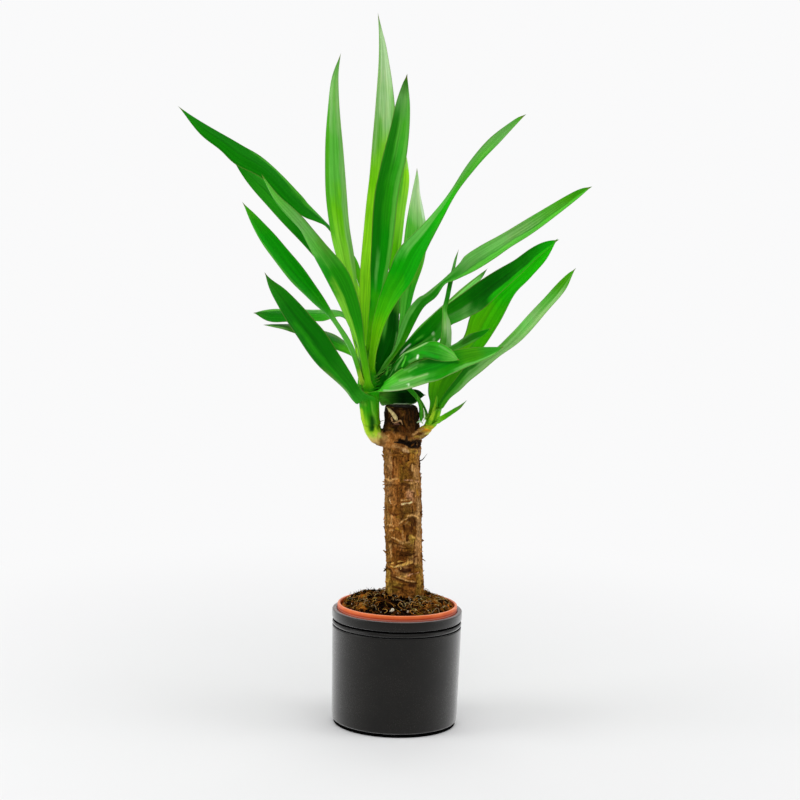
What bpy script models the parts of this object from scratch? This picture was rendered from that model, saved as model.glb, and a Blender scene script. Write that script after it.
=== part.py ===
"""A potted yucca: a bark-covered cane with two leafy shoots, planted in a
nursery pot of peat soil that stands in a glazed cachepot.

Units are metres, +Z is up, and the origin is the centre of the cachepot's
underside. The turned pieces have their driving sizes below. The plant is laid
out on a perspective elevation drawn from the front: each outline point is a
(u, v) pair on that drawing, u to the right and v down, and a depth in
millimetres says how far behind the pot's centre plane it lies. sight() turns
the pair and the depth into a point in space.
"""

import math

import bmesh
import bpy
from mathutils import Vector, geometry

# ------------------------------------------------------------- driving sizes
GAP = 0.0003                # clearance between touching pieces

# Cachepot: 14 cm class ceramic cover pot
POT_HEIGHT = 0.126
POT_RIM_R = 0.0709          # outside radius of the rim band
POT_FOOT_R = 0.0686         # outside radius just above the rounded foot
POT_FLOOR = 0.0070
POT_INNER_TOP_R = 0.0659
POT_INNER_FOOT_R = 0.0636

# Nursery pot: 13 cm class thin plastic pot
NURSERY_TOP = 0.1320
NURSERY_RIM_R = 0.0653
NURSERY_LIP = 0.0110        # depth of the turned-down lip
NURSERY_BODY_TOP_R = 0.0632
NURSERY_BASE_R = 0.0480
NURSERY_WALL = 0.0013
DRAIN_HOLES = 6
DRAIN_R = 0.0040

# Cane
CANE_R = 0.0200
CANE_FOOT_Z = 0.055         # the cane is buried to here

# Leaves
LEAF_THICK = 0.0011
LEAF_STATIONS = 13
PETIOLE_W = 0.0048          # width where a leaf leaves its shoot

# The elevation: station point, tilt and scale
EYE = Vector((-0.0033, -2.360, 0.653))
TILT = math.radians(7.2)
LEAN = math.radians(1.6)
SCALE = 2209.0              # drawing units per unit of distance
CENTRE = (400.0, 400.0)


def sight(u, v, depth):
    """The point whose place on the elevation is (u, v), depth mm behind the
    pot's centre plane."""
    du, dv = u - CENTRE[0], v - CENTRE[1]
    a = (du * math.cos(LEAN) + dv * math.sin(LEAN)) / SCALE
    b = (dv * math.cos(LEAN) - du * math.sin(LEAN)) / SCALE
    ray = Vector((a, math.cos(TILT) - b * math.sin(TILT),
                  -math.sin(TILT) - b * math.cos(TILT)))
    return EYE + ray * ((depth / 1000.0 - EYE.y) / ray.y)


# ------------------------------------------------------------------- helpers
for old in list(bpy.data.objects):
    bpy.data.objects.remove(old, do_unlink=True)

parts = bpy.data.collections.new("potted_yucca")
cutters = bpy.data.collections.new("cutters")
bpy.context.scene.collection.children.link(parts)
bpy.context.scene.collection.children.link(cutters)
root = bpy.data.objects.new("plant_root", None)
parts.objects.link(root)


def material(name, colour, roughness, metallic=0.0):
    made = bpy.data.materials.new(name)
    made.use_nodes = True
    shader = made.node_tree.nodes["Principled BSDF"]
    shader.inputs["Base Color"].default_value = (*colour, 1.0)
    shader.inputs["Roughness"].default_value = roughness
    shader.inputs["Metallic"].default_value = metallic
    return made


def add(name, mesh, finish, where=parts):
    obj = bpy.data.objects.new(name, mesh)
    where.objects.link(obj)
    if finish:
        mesh.materials.append(finish)
    if where is cutters:
        obj.hide_render = True
        obj.display_type = "WIRE"
    else:
        obj.parent = root
    return obj


def turned(name, profile, finish, steps=48, where=parts):
    """A solid turned from a closed or axis-to-axis profile of (radius, z)."""
    mesh = bpy.data.meshes.new(name)
    on_axis = profile[0][0] == 0.0
    edges = [(i, i + 1) for i in range(len(profile) - 1)]
    if not on_axis:
        edges.append((len(profile) - 1, 0))
    mesh.from_pydata([(r, 0.0, z) for r, z in profile], edges, [])
    obj = add(name, mesh, finish, where)
    screw = obj.modifiers.new("turn", "SCREW")
    screw.steps = screw.render_steps = steps
    screw.use_merge_vertices = True
    screw.merge_threshold = 0.00001
    screw.use_normal_calculate = True
    return obj


def subtract(obj, cutter):
    cut = obj.modifiers.new("cut", "BOOLEAN")
    cut.operation = "DIFFERENCE"
    cut.object = cutter
    cut.solver = "EXACT"


def through(points, count):
    """count + 1 points, evenly spaced along a smooth curve through points."""
    ends = [points[0] * 2 - points[1]] + points + [points[-1] * 2 - points[-2]]
    fine = []
    for i in range(1, len(ends) - 2):
        p0, p1, p2, p3 = ends[i - 1:i + 3]
        for k in range(10):
            t = k / 10
            fine.append(0.5 * ((2 * p1) + (p2 - p0) * t
                        + (2 * p0 - 5 * p1 + 4 * p2 - p3) * t * t
                        + (3 * p1 - p0 - 3 * p2 + p3) * t ** 3))
    fine.append(points[-1])
    run = [0.0]
    for a, b in zip(fine, fine[1:]):
        run.append(run[-1] + (b - a).length)
    out, j = [], 0
    for k in range(count + 1):
        want = run[-1] * k / count
        while j < len(run) - 2 and run[j + 1] < want:
            j += 1
        span = max(run[j + 1] - run[j], 1e-12)
        out.append(fine[j].lerp(fine[j + 1], (want - run[j]) / span))
    return out


def blend(values, t):
    """A smooth curve through values spread evenly over 0..1, read at t."""
    n = len(values) - 1
    i = min(int(t * n), n - 1)
    f = t * n - i
    p = [values[0] * 2 - values[1]] + list(values) + [values[-1] * 2 - values[-2]]
    p0, p1, p2, p3 = p[i:i + 4]
    return 0.5 * (2 * p1 + (p2 - p0) * f + (2 * p0 - 5 * p1 + 4 * p2 - p3) * f * f
                  + (3 * p1 - p0 - 3 * p2 + p3) * f ** 3)


def tube(name, centres, radii, finish, sides=16, wobble=None, where=parts):
    """A round solid along centres with the given radii, capped at both ends."""
    bm = bmesh.new()
    rings = []
    side = Vector((0, -1, 0))
    for i, (c, r) in enumerate(zip(centres, radii)):
        before, after = centres[max(i - 1, 0)], centres[min(i + 1, len(centres) - 1)]
        along = (after - before).normalized()
        side = (side - along * side.dot(along)).normalized()
        up = along.cross(side).normalized()
        ring = []
        for k in range(sides):
            a = 2 * math.pi * k / sides
            rr = r * (1.0 if wobble is None else wobble(i, a))
            ring.append(bm.verts.new(c + (side * math.cos(a) + up * math.sin(a)) * rr))
        rings.append(ring)
    for lower, upper in zip(rings, rings[1:]):
        for k in range(sides):
            n = (k + 1) % sides
            bm.faces.new((lower[k], lower[n], upper[n], upper[k]))
    bm.faces.new(list(reversed(rings[0])))
    bm.faces.new(rings[-1])
    bmesh.ops.recalc_face_normals(bm, faces=bm.faces)
    mesh = bpy.data.meshes.new(name)
    bm.to_mesh(mesh)
    bm.free()
    mesh.shade_smooth()
    mesh.set_sharp_from_angle(angle=math.radians(45))
    return add(name, mesh, finish, where)


# ------------------------------------------------------------------ materials
glaze = material("black_glaze", (0.022, 0.020, 0.018), 0.38)
terracotta = material("terracotta_plastic", (0.55, 0.085, 0.020), 0.42)
peat = material("peat_soil", (0.040, 0.022, 0.010), 0.95)
bark = material("cane_bark", (0.24, 0.145, 0.060), 0.85)
sheath = material("shoot_sheath", (0.42, 0.33, 0.10), 0.65)
husk = material("dried_husk", (0.55, 0.44, 0.30), 0.80)
greens = {
    "dark": material("leaf_dark", (0.012, 0.115, 0.012), 0.42),
    "mid": material("leaf_mid", (0.035, 0.245, 0.015), 0.42),
    "fresh": material("leaf_fresh", (0.110, 0.420, 0.015), 0.40),
}

# ----------------------------------------------------------------- the pots
foot_round = 0.0065
cachepot = turned("cachepot", [
    (0.0, POT_FLOOR), (POT_INNER_FOOT_R - 0.008, POT_FLOOR),
    (POT_INNER_FOOT_R - 0.002, POT_FLOOR + 0.0025),
    (POT_INNER_FOOT_R, POT_FLOOR + 0.008),
    (POT_INNER_TOP_R - 0.0004, POT_HEIGHT - 0.016),
    (POT_INNER_TOP_R, POT_HEIGHT - 0.0010),
    (POT_INNER_TOP_R + 0.0010, POT_HEIGHT - 0.0001),
    (POT_RIM_R - 0.0016, POT_HEIGHT - 0.0004),
    (POT_RIM_R - 0.0003, POT_HEIGHT - 0.0018),
    (POT_RIM_R, POT_HEIGHT - 0.0036),
    (POT_RIM_R, POT_HEIGHT - 0.0090),
    (POT_RIM_R - 0.0008, POT_HEIGHT - 0.0106),
    (POT_RIM_R - 0.0017, POT_HEIGHT - 0.0114),
    (POT_RIM_R - 0.0017, POT_HEIGHT - 0.0121),
    (POT_RIM_R - 0.0005, POT_HEIGHT - 0.0132),
    (POT_RIM_R - 0.0005, POT_HEIGHT - 0.0162),
    (POT_RIM_R - 0.0014, POT_HEIGHT - 0.0171),
    (POT_RIM_R - 0.0014, POT_HEIGHT - 0.0176),
    (POT_RIM_R - 0.0006, POT_HEIGHT - 0.0188),
    (POT_FOOT_R, foot_round + 0.002),
    (POT_FOOT_R - 0.0007, 0.0048), (POT_FOOT_R - 0.0022, 0.0030),
    (POT_FOOT_R - 0.0040, 0.0024), (POT_FOOT_R - 0.0042, 0.0),
    (0.0, 0.0)][::-1], glaze, steps=64)

lip_in = NURSERY_RIM_R - NURSERY_WALL
nursery_pot = turned("nursery_pot", [
    (0.0, POT_FLOOR + GAP), (NURSERY_BASE_R - 0.0015, POT_FLOOR + GAP),
    (NURSERY_BASE_R, POT_FLOOR + GAP + 0.0015),
    (NURSERY_BODY_TOP_R, NURSERY_TOP - NURSERY_LIP),
    (NURSERY_RIM_R - 0.0008, NURSERY_TOP - NURSERY_LIP),
    (NURSERY_RIM_R, NURSERY_TOP - NURSERY_LIP + 0.001),
    (NURSERY_RIM_R, NURSERY_TOP - 0.0016),
    (NURSERY_RIM_R - 0.0007, NURSERY_TOP - 0.0003),
    (NURSERY_RIM_R - 0.0022, NURSERY_TOP),
    (NURSERY_RIM_R - 0.0036, NURSERY_TOP - 0.0010),
    (NURSERY_BODY_TOP_R - NURSERY_WALL, NURSERY_TOP - NURSERY_LIP - 0.003),
    (NURSERY_BASE_R - NURSERY_WALL, POT_FLOOR + GAP + NURSERY_WALL + 0.0006),
    (0.0, POT_FLOOR + GAP + NURSERY_WALL + 0.0002)], terracotta, steps=48)

bm = bmesh.new()
for k in range(DRAIN_HOLES):
    a = 2 * math.pi * (k + 0.5) / DRAIN_HOLES
    made = bmesh.ops.create_cone(
        bm, cap_ends=True, segments=12, radius1=DRAIN_R, radius2=DRAIN_R, depth=0.012)
    bmesh.ops.translate(bm, verts=made["verts"],
                        vec=(0.034 * math.cos(a), 0.034 * math.sin(a), POT_FLOOR))
drain = bpy.data.meshes.new("drain_cutter")
bm.to_mesh(drain)
bm.free()
subtract(nursery_pot, add("drain_cutter", drain, None, cutters))

# ----------------------------------------------------------------- the cane
CANE_DEPTH = 10
cane_foot = sight(405.0, 612, CANE_DEPTH)
cane_line = [Vector((cane_foot.x + 0.0012, cane_foot.y, CANE_FOOT_Z))] + [
    sight(u, v, CANE_DEPTH) for u, v in (
        (405.0, 612), (404.6, 590), (404.0, 560), (403.2, 520), (402.6, 490),
        (402.0, 460), (401.4, 447), (401.2, 440), (401.2, 432), (401.2, 424),
        (401.0, 412), (401.0, 404.5))]
cane_radii = [0.0185, 0.0203, 0.0202, 0.0201, 0.0200, 0.0199, 0.0197,
              0.0212, 0.0240, 0.0236, 0.0206, 0.0197, 0.0190]


def cane_wobble(i, a):
    return 1.0 + 0.014 * math.sin(3 * a + 1.9 * i) + 0.010 * math.sin(2 * a - 1.1 * i)


cane = tube("cane_trunk", cane_line, cane_radii, bark, 18, cane_wobble)
cane_room = tube("cane_cutter", [cane_line[0] - Vector((0, 0, GAP))] + cane_line[1:-1]
                 + [cane_line[-1] + Vector((0, 0, GAP))],
                 [r + 1.6 * GAP for r in cane_radii], None, 18, cane_wobble, cutters)

# ----------------------------------------------------------------- the soil
soil_in = 0.0
bm = bmesh.new()
rows = [(0.0, 0.0098), (0.30, 0.0098), (0.55, 0.0068), (0.78, 0.0034), (0.94, 0.0010), (1.0, -0.0022)]
SOIL_TOP = NURSERY_TOP - 0.0012
soil_rings = []
sides = 32
for f, rise in rows[1:]:
    ring = []
    for k in range(sides):
        a = 2 * math.pi * k / sides
        r = f * (NURSERY_RIM_R - 0.0036 - 2 * GAP)
        lump = 0.0012 * math.sin(5 * a + 9 * f) + 0.0010 * math.sin(8 * a - 7 * f) \
            + 0.0016 * math.sin(2 * a + 0.6) * f
        lump *= 0.25 if f == 1.0 else 1.0
        ring.append(bm.verts.new((r * math.cos(a), r * math.sin(a),
                                  SOIL_TOP + rise + lump)))
    soil_rings.append(ring)
for r, z in ((NURSERY_BODY_TOP_R - NURSERY_WALL - 2 * GAP, NURSERY_TOP - NURSERY_LIP - 0.0034),
             (NURSERY_BASE_R - NURSERY_WALL - 2 * GAP, POT_FLOOR + NURSERY_WALL + 0.0022)):
    soil_rings.append([bm.verts.new((r * math.cos(2 * math.pi * k / sides),
                                     r * math.sin(2 * math.pi * k / sides), z))
                       for k in range(sides)])
for upper, lower in zip(soil_rings, soil_rings[1:]):
    for k in range(sides):
        n = (k + 1) % sides
        bm.faces.new((upper[n], upper[k], lower[k], lower[n]))
middle = bm.verts.new((0, 0, SOIL_TOP + rows[0][1]))
for k in range(sides):
    bm.faces.new((middle, soil_rings[0][k], soil_rings[0][(k + 1) % sides]))
bm.faces.new([soil_rings[-1][k] for k in reversed(range(sides))])
bmesh.ops.recalc_face_normals(bm, faces=bm.faces)
soil_mesh = bpy.data.meshes.new("soil")
bm.to_mesh(soil_mesh)
bm.free()
soil = add("soil", soil_mesh, peat)
subtract(soil, cane_room)

# ------------------------------------------------------------- the two shoots
SHOOT_A = [(392, 441), (381, 439.5), (373, 432), (370, 420), (369.6, 407),
           (369.0, 393), (368.6, 379), (368.4, 365), (368.2, 352)]
SHOOT_A_DEPTH = 4
SHOOT_A_R = [0.0082, 0.0088, 0.0096, 0.0096, 0.0092, 0.0083, 0.0070, 0.0055, 0.0040]
SHOOT_B = [(415, 437), (424, 431), (430, 425), (433.5, 417), (435, 409), (436, 402), (436.6, 396)]
SHOOT_B_DEPTH = 6
SHOOT_B_R = [0.0058, 0.0058, 0.0057, 0.0055, 0.0050, 0.0042, 0.0034]

shoot_lines = {
    "A": [sight(u, v, SHOOT_A_DEPTH) for u, v in SHOOT_A],
    "B": [sight(u, v, SHOOT_B_DEPTH) for u, v in SHOOT_B],
}
shoot_radii = {"A": SHOOT_A_R, "B": SHOOT_B_R}
for key, name in (("A", "shoot_left"), ("B", "shoot_right")):
    subtract(tube(name, shoot_lines[key], shoot_radii[key], sheath, 14), cane_room)


def on_shoot(key, v, azimuth, extra=0.0):
    """The point on a shoot's skin at height v of the drawing, and the
    horizontal direction along the skin there."""
    line, radii = shoot_lines[key], shoot_radii[key]
    level = sight((370, 436)[key == "B"], v, SHOOT_A_DEPTH).z
    for i in range(len(line) - 1):
        if line[i].z <= level <= line[i + 1].z:
            break
    else:
        i = len(line) - 2
    f = (level - line[i].z) / (line[i + 1].z - line[i].z)
    f = min(max(f, 0.0), 1.0)
    centre = line[i].lerp(line[i + 1], f)
    radius = radii[i] * (1 - f) + radii[i + 1] * f
    a = math.radians(azimuth)
    out = Vector((math.cos(a), math.sin(a), 0.0))
    return centre + out * (radius + 2.5 * GAP + LEAF_THICK * 0.6 + extra), Vector((-math.sin(a), math.cos(a), 0.0))


# ------------------------------------------------------------------ the leaves
# name: shoot, (v, azimuth) of the base, colour, depths base to tip, how much
# deeper the first edge lies than the second, fold, first edge, second edge
LEAVES = {}


def leaf_plan(name, shoot, base, colour, depths, turn, fold, first, second):
    LEAVES[name] = (shoot, base, colour, depths, turn, fold, first, second)


leaf_plan("leaf_01", "A", (356, 138), "dark", (12, 40, 70, 90, 100), 10, 0.12,
          [(371, 330), (366, 296), (361, 273), (355, 257), (344, 243), (332, 229), (322, 218), (308, 203.5), (300, 194), (266, 160), (240, 144), (200, 121), (179, 107)],
          [(366, 332), (362, 300), (357, 278), (350, 263), (340, 248), (327, 228), (317, 222), (305, 217.5), (296, 211.5), (280, 197), (262, 178.5), (236, 165), (220, 150), (200, 134), (179, 107)])
leaf_plan("leaf_02", "A", (372, 112), "dark", (17, 54, 94, 126, 150), 12, 0.12,
          [(368, 345), (356, 292), (335, 257), (310, 225), (298, 212), (270, 184), (250, 168), (234, 161)],
          [(364, 350), (345, 302), (325, 270), (309, 251), (290, 231), (270, 209), (250, 186), (240, 172), (234, 161)])
leaf_plan("leaf_03", "A", (388, -110), "mid", (-8, -26, -60, -85, -100), -14, 0.12,
          [(371, 380), (366, 350), (361, 310), (352, 280), (340, 260), (320, 237.5), (300, 215), (280, 197), (262, 175)],
          [(363, 384), (358, 350), (345, 318), (330, 286), (315, 259), (308, 245), (300, 230), (286, 214), (272, 196), (262, 175)])
leaf_plan("leaf_04", "A", (364, 178), "mid", (5, 11, 20, 28, 30), 8, -0.12,
          [(358, 361), (355, 325), (347, 290), (337, 258), (330, 230), (325.5, 190), (325.5, 145), (328, 105), (332, 77), (340.5, 54.5)],
          [(362.5, 361), (361.5, 325), (358, 290), (354, 256), (349, 220), (345, 170), (341, 125), (338.5, 80), (340.5, 54.5)])
leaf_plan("leaf_05", "A", (386, -150), "mid", (-7, -13, -22, -34, -40), -12, 0.12,
          [(364, 382), (359, 364), (354, 348), (340, 324), (320, 292), (300, 264), (280, 240), (260, 219), (243, 203)],
          [(361, 388), (356, 368), (347, 345), (330, 319), (310, 300), (290, 280), (270, 255), (255, 231), (243, 203)])
leaf_plan("leaf_06", "A", (400, -118), "dark", (-7, -30, -60, -92, -120), -10, 0.12,
          [(370, 397), (360, 388), (350, 371), (337, 351), (325, 332), (303, 307), (287, 291), (270, 278), (265, 273)],
          [(361, 409), (352.5, 400), (345, 390.5), (330, 376.5), (315, 362), (300, 341), (285, 318), (270, 290), (265, 273)])
leaf_plan("leaf_07", "A", (378, 132), "mid", (12, 42, 86, 126, 160), 22, 0.10,
          [(363, 350), (345, 314), (320, 310), (290, 309), (265, 310), (254, 313)],
          [(360, 356), (345, 319), (320, 321), (288, 322), (268, 321), (254, 313)])
leaf_plan("leaf_08", "A", (393, 172), "dark", (6, 50, 92, 128, 155), 20, 0.10,
          [(361, 362), (350, 346), (335, 335), (315, 328), (288, 324), (275, 324), (264, 325)],
          [(358, 370), (352, 357), (337, 350), (315, 341), (295, 333), (280, 329), (264, 325)])
leaf_plan("leaf_09", "A", (390, 125), "dark", (16, 70, 115, 150, 175), 6, -0.12,
          [(366, 374), (356, 330), (347, 292), (337, 264), (325, 248)],
          [(362, 380), (352, 337), (341, 300), (331, 274), (325, 248)])
leaf_plan("leaf_10", "A", (350, 190), "mid", (4, 4, 6, 10, 16), 6, 0.14,
          [(363, 342), (359.5, 300), (361, 260), (366, 205), (370, 170), (375, 110), (378, 70), (379, 40), (378, 14)],
          [(369, 342), (380, 300), (385, 260), (391, 210), (395, 165), (396, 125), (393, 88), (387, 50), (382, 30), (378, 14)])
leaf_plan("leaf_11", "A", (352, -90), "dark", (-6, -24, -45, -70, -88), 4, 0.14,
          [(366, 345), (370, 300), (370.5, 260), (374, 200), (379, 172), (385, 147), (391, 125), (396, 103), (402, 85), (407, 75)],
          [(373, 345), (382, 300), (390, 262), (394, 235), (397, 205), (401, 180), (406, 160), (409, 135), (410, 110), (409, 92), (407, 75)])
leaf_plan("leaf_12", "A", (382, 36), "fresh", (10, 11, 24, 31, 36), -6, -0.12,
          [(371, 380), (374, 362), (380, 340), (384, 318), (387, 290), (391, 250), (396, 210), (400, 180), (405, 150)],
          [(376, 382), (386, 363), (396, 342), (399, 322), (399, 295), (399, 268), (402, 240), (405, 215), (409, 183), (408, 165), (405, 150)])
leaf_plan("leaf_13", "A", (364, 50), "mid", (12, 46, 74, 96, 112), -10, -0.12,
          [(377, 363), (392, 350), (399, 320), (402, 280), (403, 248), (408, 213), (411, 197), (415, 178), (417, 169)],
          [(379, 368), (398, 354), (406, 322), (414, 292), (424, 262), (427, 238), (424, 213), (420, 193), (419, 180), (417, 169)])
leaf_plan("leaf_14", "A", (372, -75), "fresh", (-7, -30, -46, -60, -70), 10, 0.14,
          [(367, 368), (370, 345), (373, 320), (380, 293), (390, 268), (400, 247), (425, 222), (450, 191), (470, 161), (490, 138), (515, 119), (525, 115)],
          [(374, 370), (378, 345), (387, 320), (400, 298), (413, 280), (430, 243), (445, 215), (460, 188), (480, 163), (500, 142), (515, 126), (525, 115)])
leaf_plan("leaf_15", "A", (377, 4), "mid", (6, 5, -2, -12, -20), 12, 0.14,
          [(376, 377), (383, 363), (393, 349), (400, 328), (408, 310), (418, 298), (425, 294), (440, 282), (452, 270.5), (460, 262), (465, 255.5), (480, 246), (500, 235), (530, 217), (560, 199), (580, 189), (591, 187)],
          [(380, 379), (388, 366), (400, 350), (406, 341), (415, 322), (424, 307), (436, 297), (445, 284), (456, 280), (475, 271), (495, 258), (510, 247.5), (530, 235), (555, 217), (575, 201), (591, 187)])
leaf_plan("leaf_16", "A", (383, 8), "dark", (6, 4, -13, -29, -44), 8, 0.14,
          [(380, 376), (388, 364), (404, 345), (420, 328), (438, 310), (448, 304), (465, 291.5), (475, 284), (487, 276), (500, 268), (515, 259.5), (530, 249), (541, 243), (550, 240.5), (558, 240)],
          [(384, 379), (392, 368), (410, 354), (420, 350), (430, 346), (438, 341), (444, 334), (451, 325.5), (460, 321), (480, 311), (490, 303), (500, 293.5), (518, 277), (535, 260), (548, 249), (558, 240)])
leaf_plan("leaf_17", "B", (410, 75), "fresh", (12, 24, 37, 48, 56), 8, 0.12,
          [(431, 405), (428, 391), (431, 374), (444, 358), (458, 345), (465, 334), (471, 314), (484, 296), (500, 286), (518, 271), (535, 253), (548, 243.5), (557, 239.5)],
          [(438, 405), (447, 393), (457, 378), (470, 362), (485, 345), (500, 322), (515, 294), (530, 278), (546, 260), (557, 239.5)])
leaf_plan("leaf_18", "A", (393, -40), "mid", (-5, -30, -60, -90, -116), 12, 0.12,
          [(379, 387), (384, 382), (390, 377), (397, 371.5), (405, 366.8), (415, 361.8), (425, 359), (440, 354), (460, 349), (480, 347), (503, 347)],
          [(380, 392), (390, 391.5), (403, 390), (418, 386), (428, 383), (440, 379.5), (460, 370), (480, 362), (492, 356), (503, 347)])
leaf_plan("leaf_19", "B", (411, -30), "mid", (-2, -20, -38, -52, -62), 12, 0.14,
          [(437, 408), (442, 398), (452, 384), (465, 367), (480, 357), (500, 345), (525, 318), (545, 297), (565, 276), (575, 269)],
          [(441, 411), (450, 398), (460, 390), (470, 381), (480, 373), (500, 356), (525, 337), (545, 314), (565, 290), (575, 269)])
leaf_plan("leaf_20", "A", (389, -30), "mid", (-4, -12, -58, -104, -128), 3, -0.16,
          [(382, 382), (389, 376), (396, 370), (401, 364), (406, 357.5), (412, 352.5), (419, 347.5), (427, 342.5), (434, 341), (442, 343.5), (452, 350.5), (459, 360)],
          [(384, 386), (391, 380.5), (398, 374), (405, 368), (411, 363.3), (418, 360), (426, 358.3), (436, 360.5), (446, 361.5), (453, 361), (459, 360)])
leaf_plan("leaf_21", "A", (381, -8), "mid", (2, -1, -9, -25, -18, 8, 18), 2, 0.12,
          [(382, 371), (391, 364), (400, 359), (410, 354), (424, 349), (437, 346), (441, 335), (442, 322), (442.5, 314), (442.3, 308), (445, 298), (447, 288), (449, 279), (452, 268), (454.5, 259), (458.5, 250)],
          [(385, 376), (394, 371), (404, 365), (414, 360.5), (436, 357), (449, 351), (451.5, 335), (450.3, 322), (447.5, 314), (447.2, 308), (449.5, 298), (451.5, 288), (453.5, 279), (455.2, 268), (456.8, 259), (458.5, 250)])
leaf_plan("leaf_22", "A", (386, -19), "dark", (-1, -6, -26, -52, -74), 2, 0.12,
          [(380, 376), (392, 368), (405, 361), (430, 352), (452, 345), (463, 338), (470, 334), (480, 331), (491, 328)],
          [(383, 381), (393, 377), (408, 370), (436, 362), (455, 351), (465, 346), (475, 341), (485, 334), (491, 328)])
leaf_plan("leaf_23", "B", (425, -30), "fresh", (-1, -12, -24, -34, -42), 4, 0.12,
          [(438, 417), (442, 415.2), (447, 412.4), (453, 408.8), (459, 405.6), (466, 401)],
          [(438, 424), (444, 420), (450, 416), (456, 411.8), (461, 407.6), (466, 401)])
leaf_plan("leaf_24", "A", (400, 40), "dark", (10, 17, 19, 20, 22), 4, 0.10,
          [(379, 393), (385, 391), (395, 389.8), (405, 389.3), (413, 389), (419, 390.5), (425, 395)],
          [(379, 399), (385, 402.2), (393, 402.9), (403, 402.9), (412, 402.6), (419, 399), (425, 395)])
leaf_plan("leaf_25", "B", (421, 160), "mid", (8, 9.5, 13, 19, 26), 2, 0.08,
          [(424.2, 421), (420.8, 412), (419.6, 405), (415.5, 399), (409, 392), (403, 385), (399, 376)],
          [(428, 421), (426.5, 412), (424.0, 404.5), (420, 397.5), (415, 391), (407, 383), (399, 376)])
leaf_plan("leaf_26", "A", (358, 92), "dark", (24, 78, 125, 165, 200), 6, -0.12,
          [(368, 345), (354, 300), (340, 262), (333, 232), (332, 210), (336, 192)],
          [(374, 345), (363, 300), (352, 262), (346, 232), (342, 210), (336, 192)])
leaf_plan("leaf_27", "A", (352, 70), "mid", (21, 62, 100, 145, 180), 4, -0.12,
          [(370, 335), (370, 290), (373, 245), (378, 205), (382, 180), (388, 155)],
          [(376, 335), (382, 290), (389, 245), (393, 205), (392, 180), (388, 155)])
leaf_plan("leaf_28", "A", (376, 84), "dark", (19, 72, 125, 170, 205), -6, -0.12,
          [(374, 360), (385, 318), (394, 285), (403, 258), (407, 238), (412, 218)],
          [(378, 362), (396, 322), (408, 292), (417, 262), (419, 240), (412, 218)])
leaf_plan("leaf_29", "A", (384, 64), "dark", (14, 64, 110, 155, 190), -8, -0.12,
          [(381, 370), (400, 348), (425, 321), (449, 299.5), (460, 290), (470, 281.5), (480, 274), (487, 269)],
          [(384, 376), (405, 356), (432, 331), (455, 308), (465, 297), (474, 287), (482, 278), (487, 269)])


def leaf(name):
    shoot, (v, azimuth), colour, depths, turn, fold, first, second = LEAVES[name]
    n = LEAF_STATIONS
    # The outline on the drawing, resampled; its lowest fifth runs to the base.
    edge = [through([Vector((u, w, 0)) for u, w in side], n) for side in (first, second)]
    start, along = on_shoot(shoot, v, azimuth)
    stations = []
    for i in range(n + 1):
        t = i / n
        depth = blend(depths, t)
        body = math.sin(math.pi * min(1.0, 0.15 + 0.85 * t)) ** 0.6
        lean = turn * body
        a, b = edge[0][i], edge[1][i]
        pa, pb = sight(a.x, a.y, depth + lean / 2), sight(b.x, b.y, depth - lean / 2)
        narrow = min(1.0, 0.50 + 2.0 * t)
        mid = (pa + pb) / 2
        stations.append((mid, (pb - pa) / 2 * narrow))
    # The petiole: from the shoot's skin to the first station clear of it,
    # turning on the way from the skin's direction to the blade's.
    while (stations[0][0] - start).length < 0.009:
        stations.pop(0)
    first_mid, first_half = stations[0]
    half = along * PETIOLE_W / 2
    if half.dot(first_half) < 0:
        half = -half
    for f in ((0.66, 0.33) if (first_mid - start).length > 0.014 else (0.5,)):
        wide = half.length * (1 - f) + first_half.length * f
        turned_half = half.normalized().lerp(first_half.normalized(), f)
        stations.insert(0, (start.lerp(first_mid, f), turned_half.normalized() * wide))
    stations.insert(0, (start, half))
    # Near the base each section is squared to the way the leaf runs.
    for i in range(4):
        mid, half = stations[i]
        run = (stations[i + 1][0] - stations[max(i - 1, 0)][0]).normalized()
        square = (half - run * half.dot(run)).normalized() * half.length
        stations[i] = (mid, half.lerp(square, 1.0 - 0.25 * i))
    bm = bmesh.new()
    rings = []
    for i, (mid, half) in enumerate(stations[:-1]):
        behind = stations[max(i - 1, 0)][0]
        run = (stations[i + 1][0] - behind).normalized()
        normal = run.cross(half).normalized()
        sag = normal * (fold * half.length * 2)
        thick = normal * (LEAF_THICK / 2)
        rings.append([bm.verts.new(p) for p in (
            mid - half, mid + sag + thick, mid + half, mid + sag - thick)])
    tip = bm.verts.new(stations[-1][0])
    # Both faces of the blade are split along the same diagonals, so that they
    # stay parallel where it twists.
    for low, high in zip(rings, rings[1:]):
        for k in range(4):
            m = (k + 1) % 4
            if k % 2 == 0:
                bm.faces.new((low[k], low[m], high[m]))
                bm.faces.new((low[k], high[m], high[k]))
            else:
                bm.faces.new((low[k], low[m], high[k]))
                bm.faces.new((low[m], high[m], high[k]))
    for k in range(4):
        bm.faces.new((rings[-1][k], rings[-1][(k + 1) % 4], tip))
    bm.faces.new((rings[0][2], rings[0][1], rings[0][0]))
    bm.faces.new((rings[0][3], rings[0][2], rings[0][0]))
    bmesh.ops.recalc_face_normals(bm, faces=bm.faces)
    mesh = bpy.data.meshes.new(name)
    bm.to_mesh(mesh)
    bm.free()
    mesh.shade_smooth()
    mesh.set_sharp_from_angle(angle=math.radians(50))
    add(name, mesh, greens[colour])


for leaf_name in LEAVES:
    leaf(leaf_name)

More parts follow.
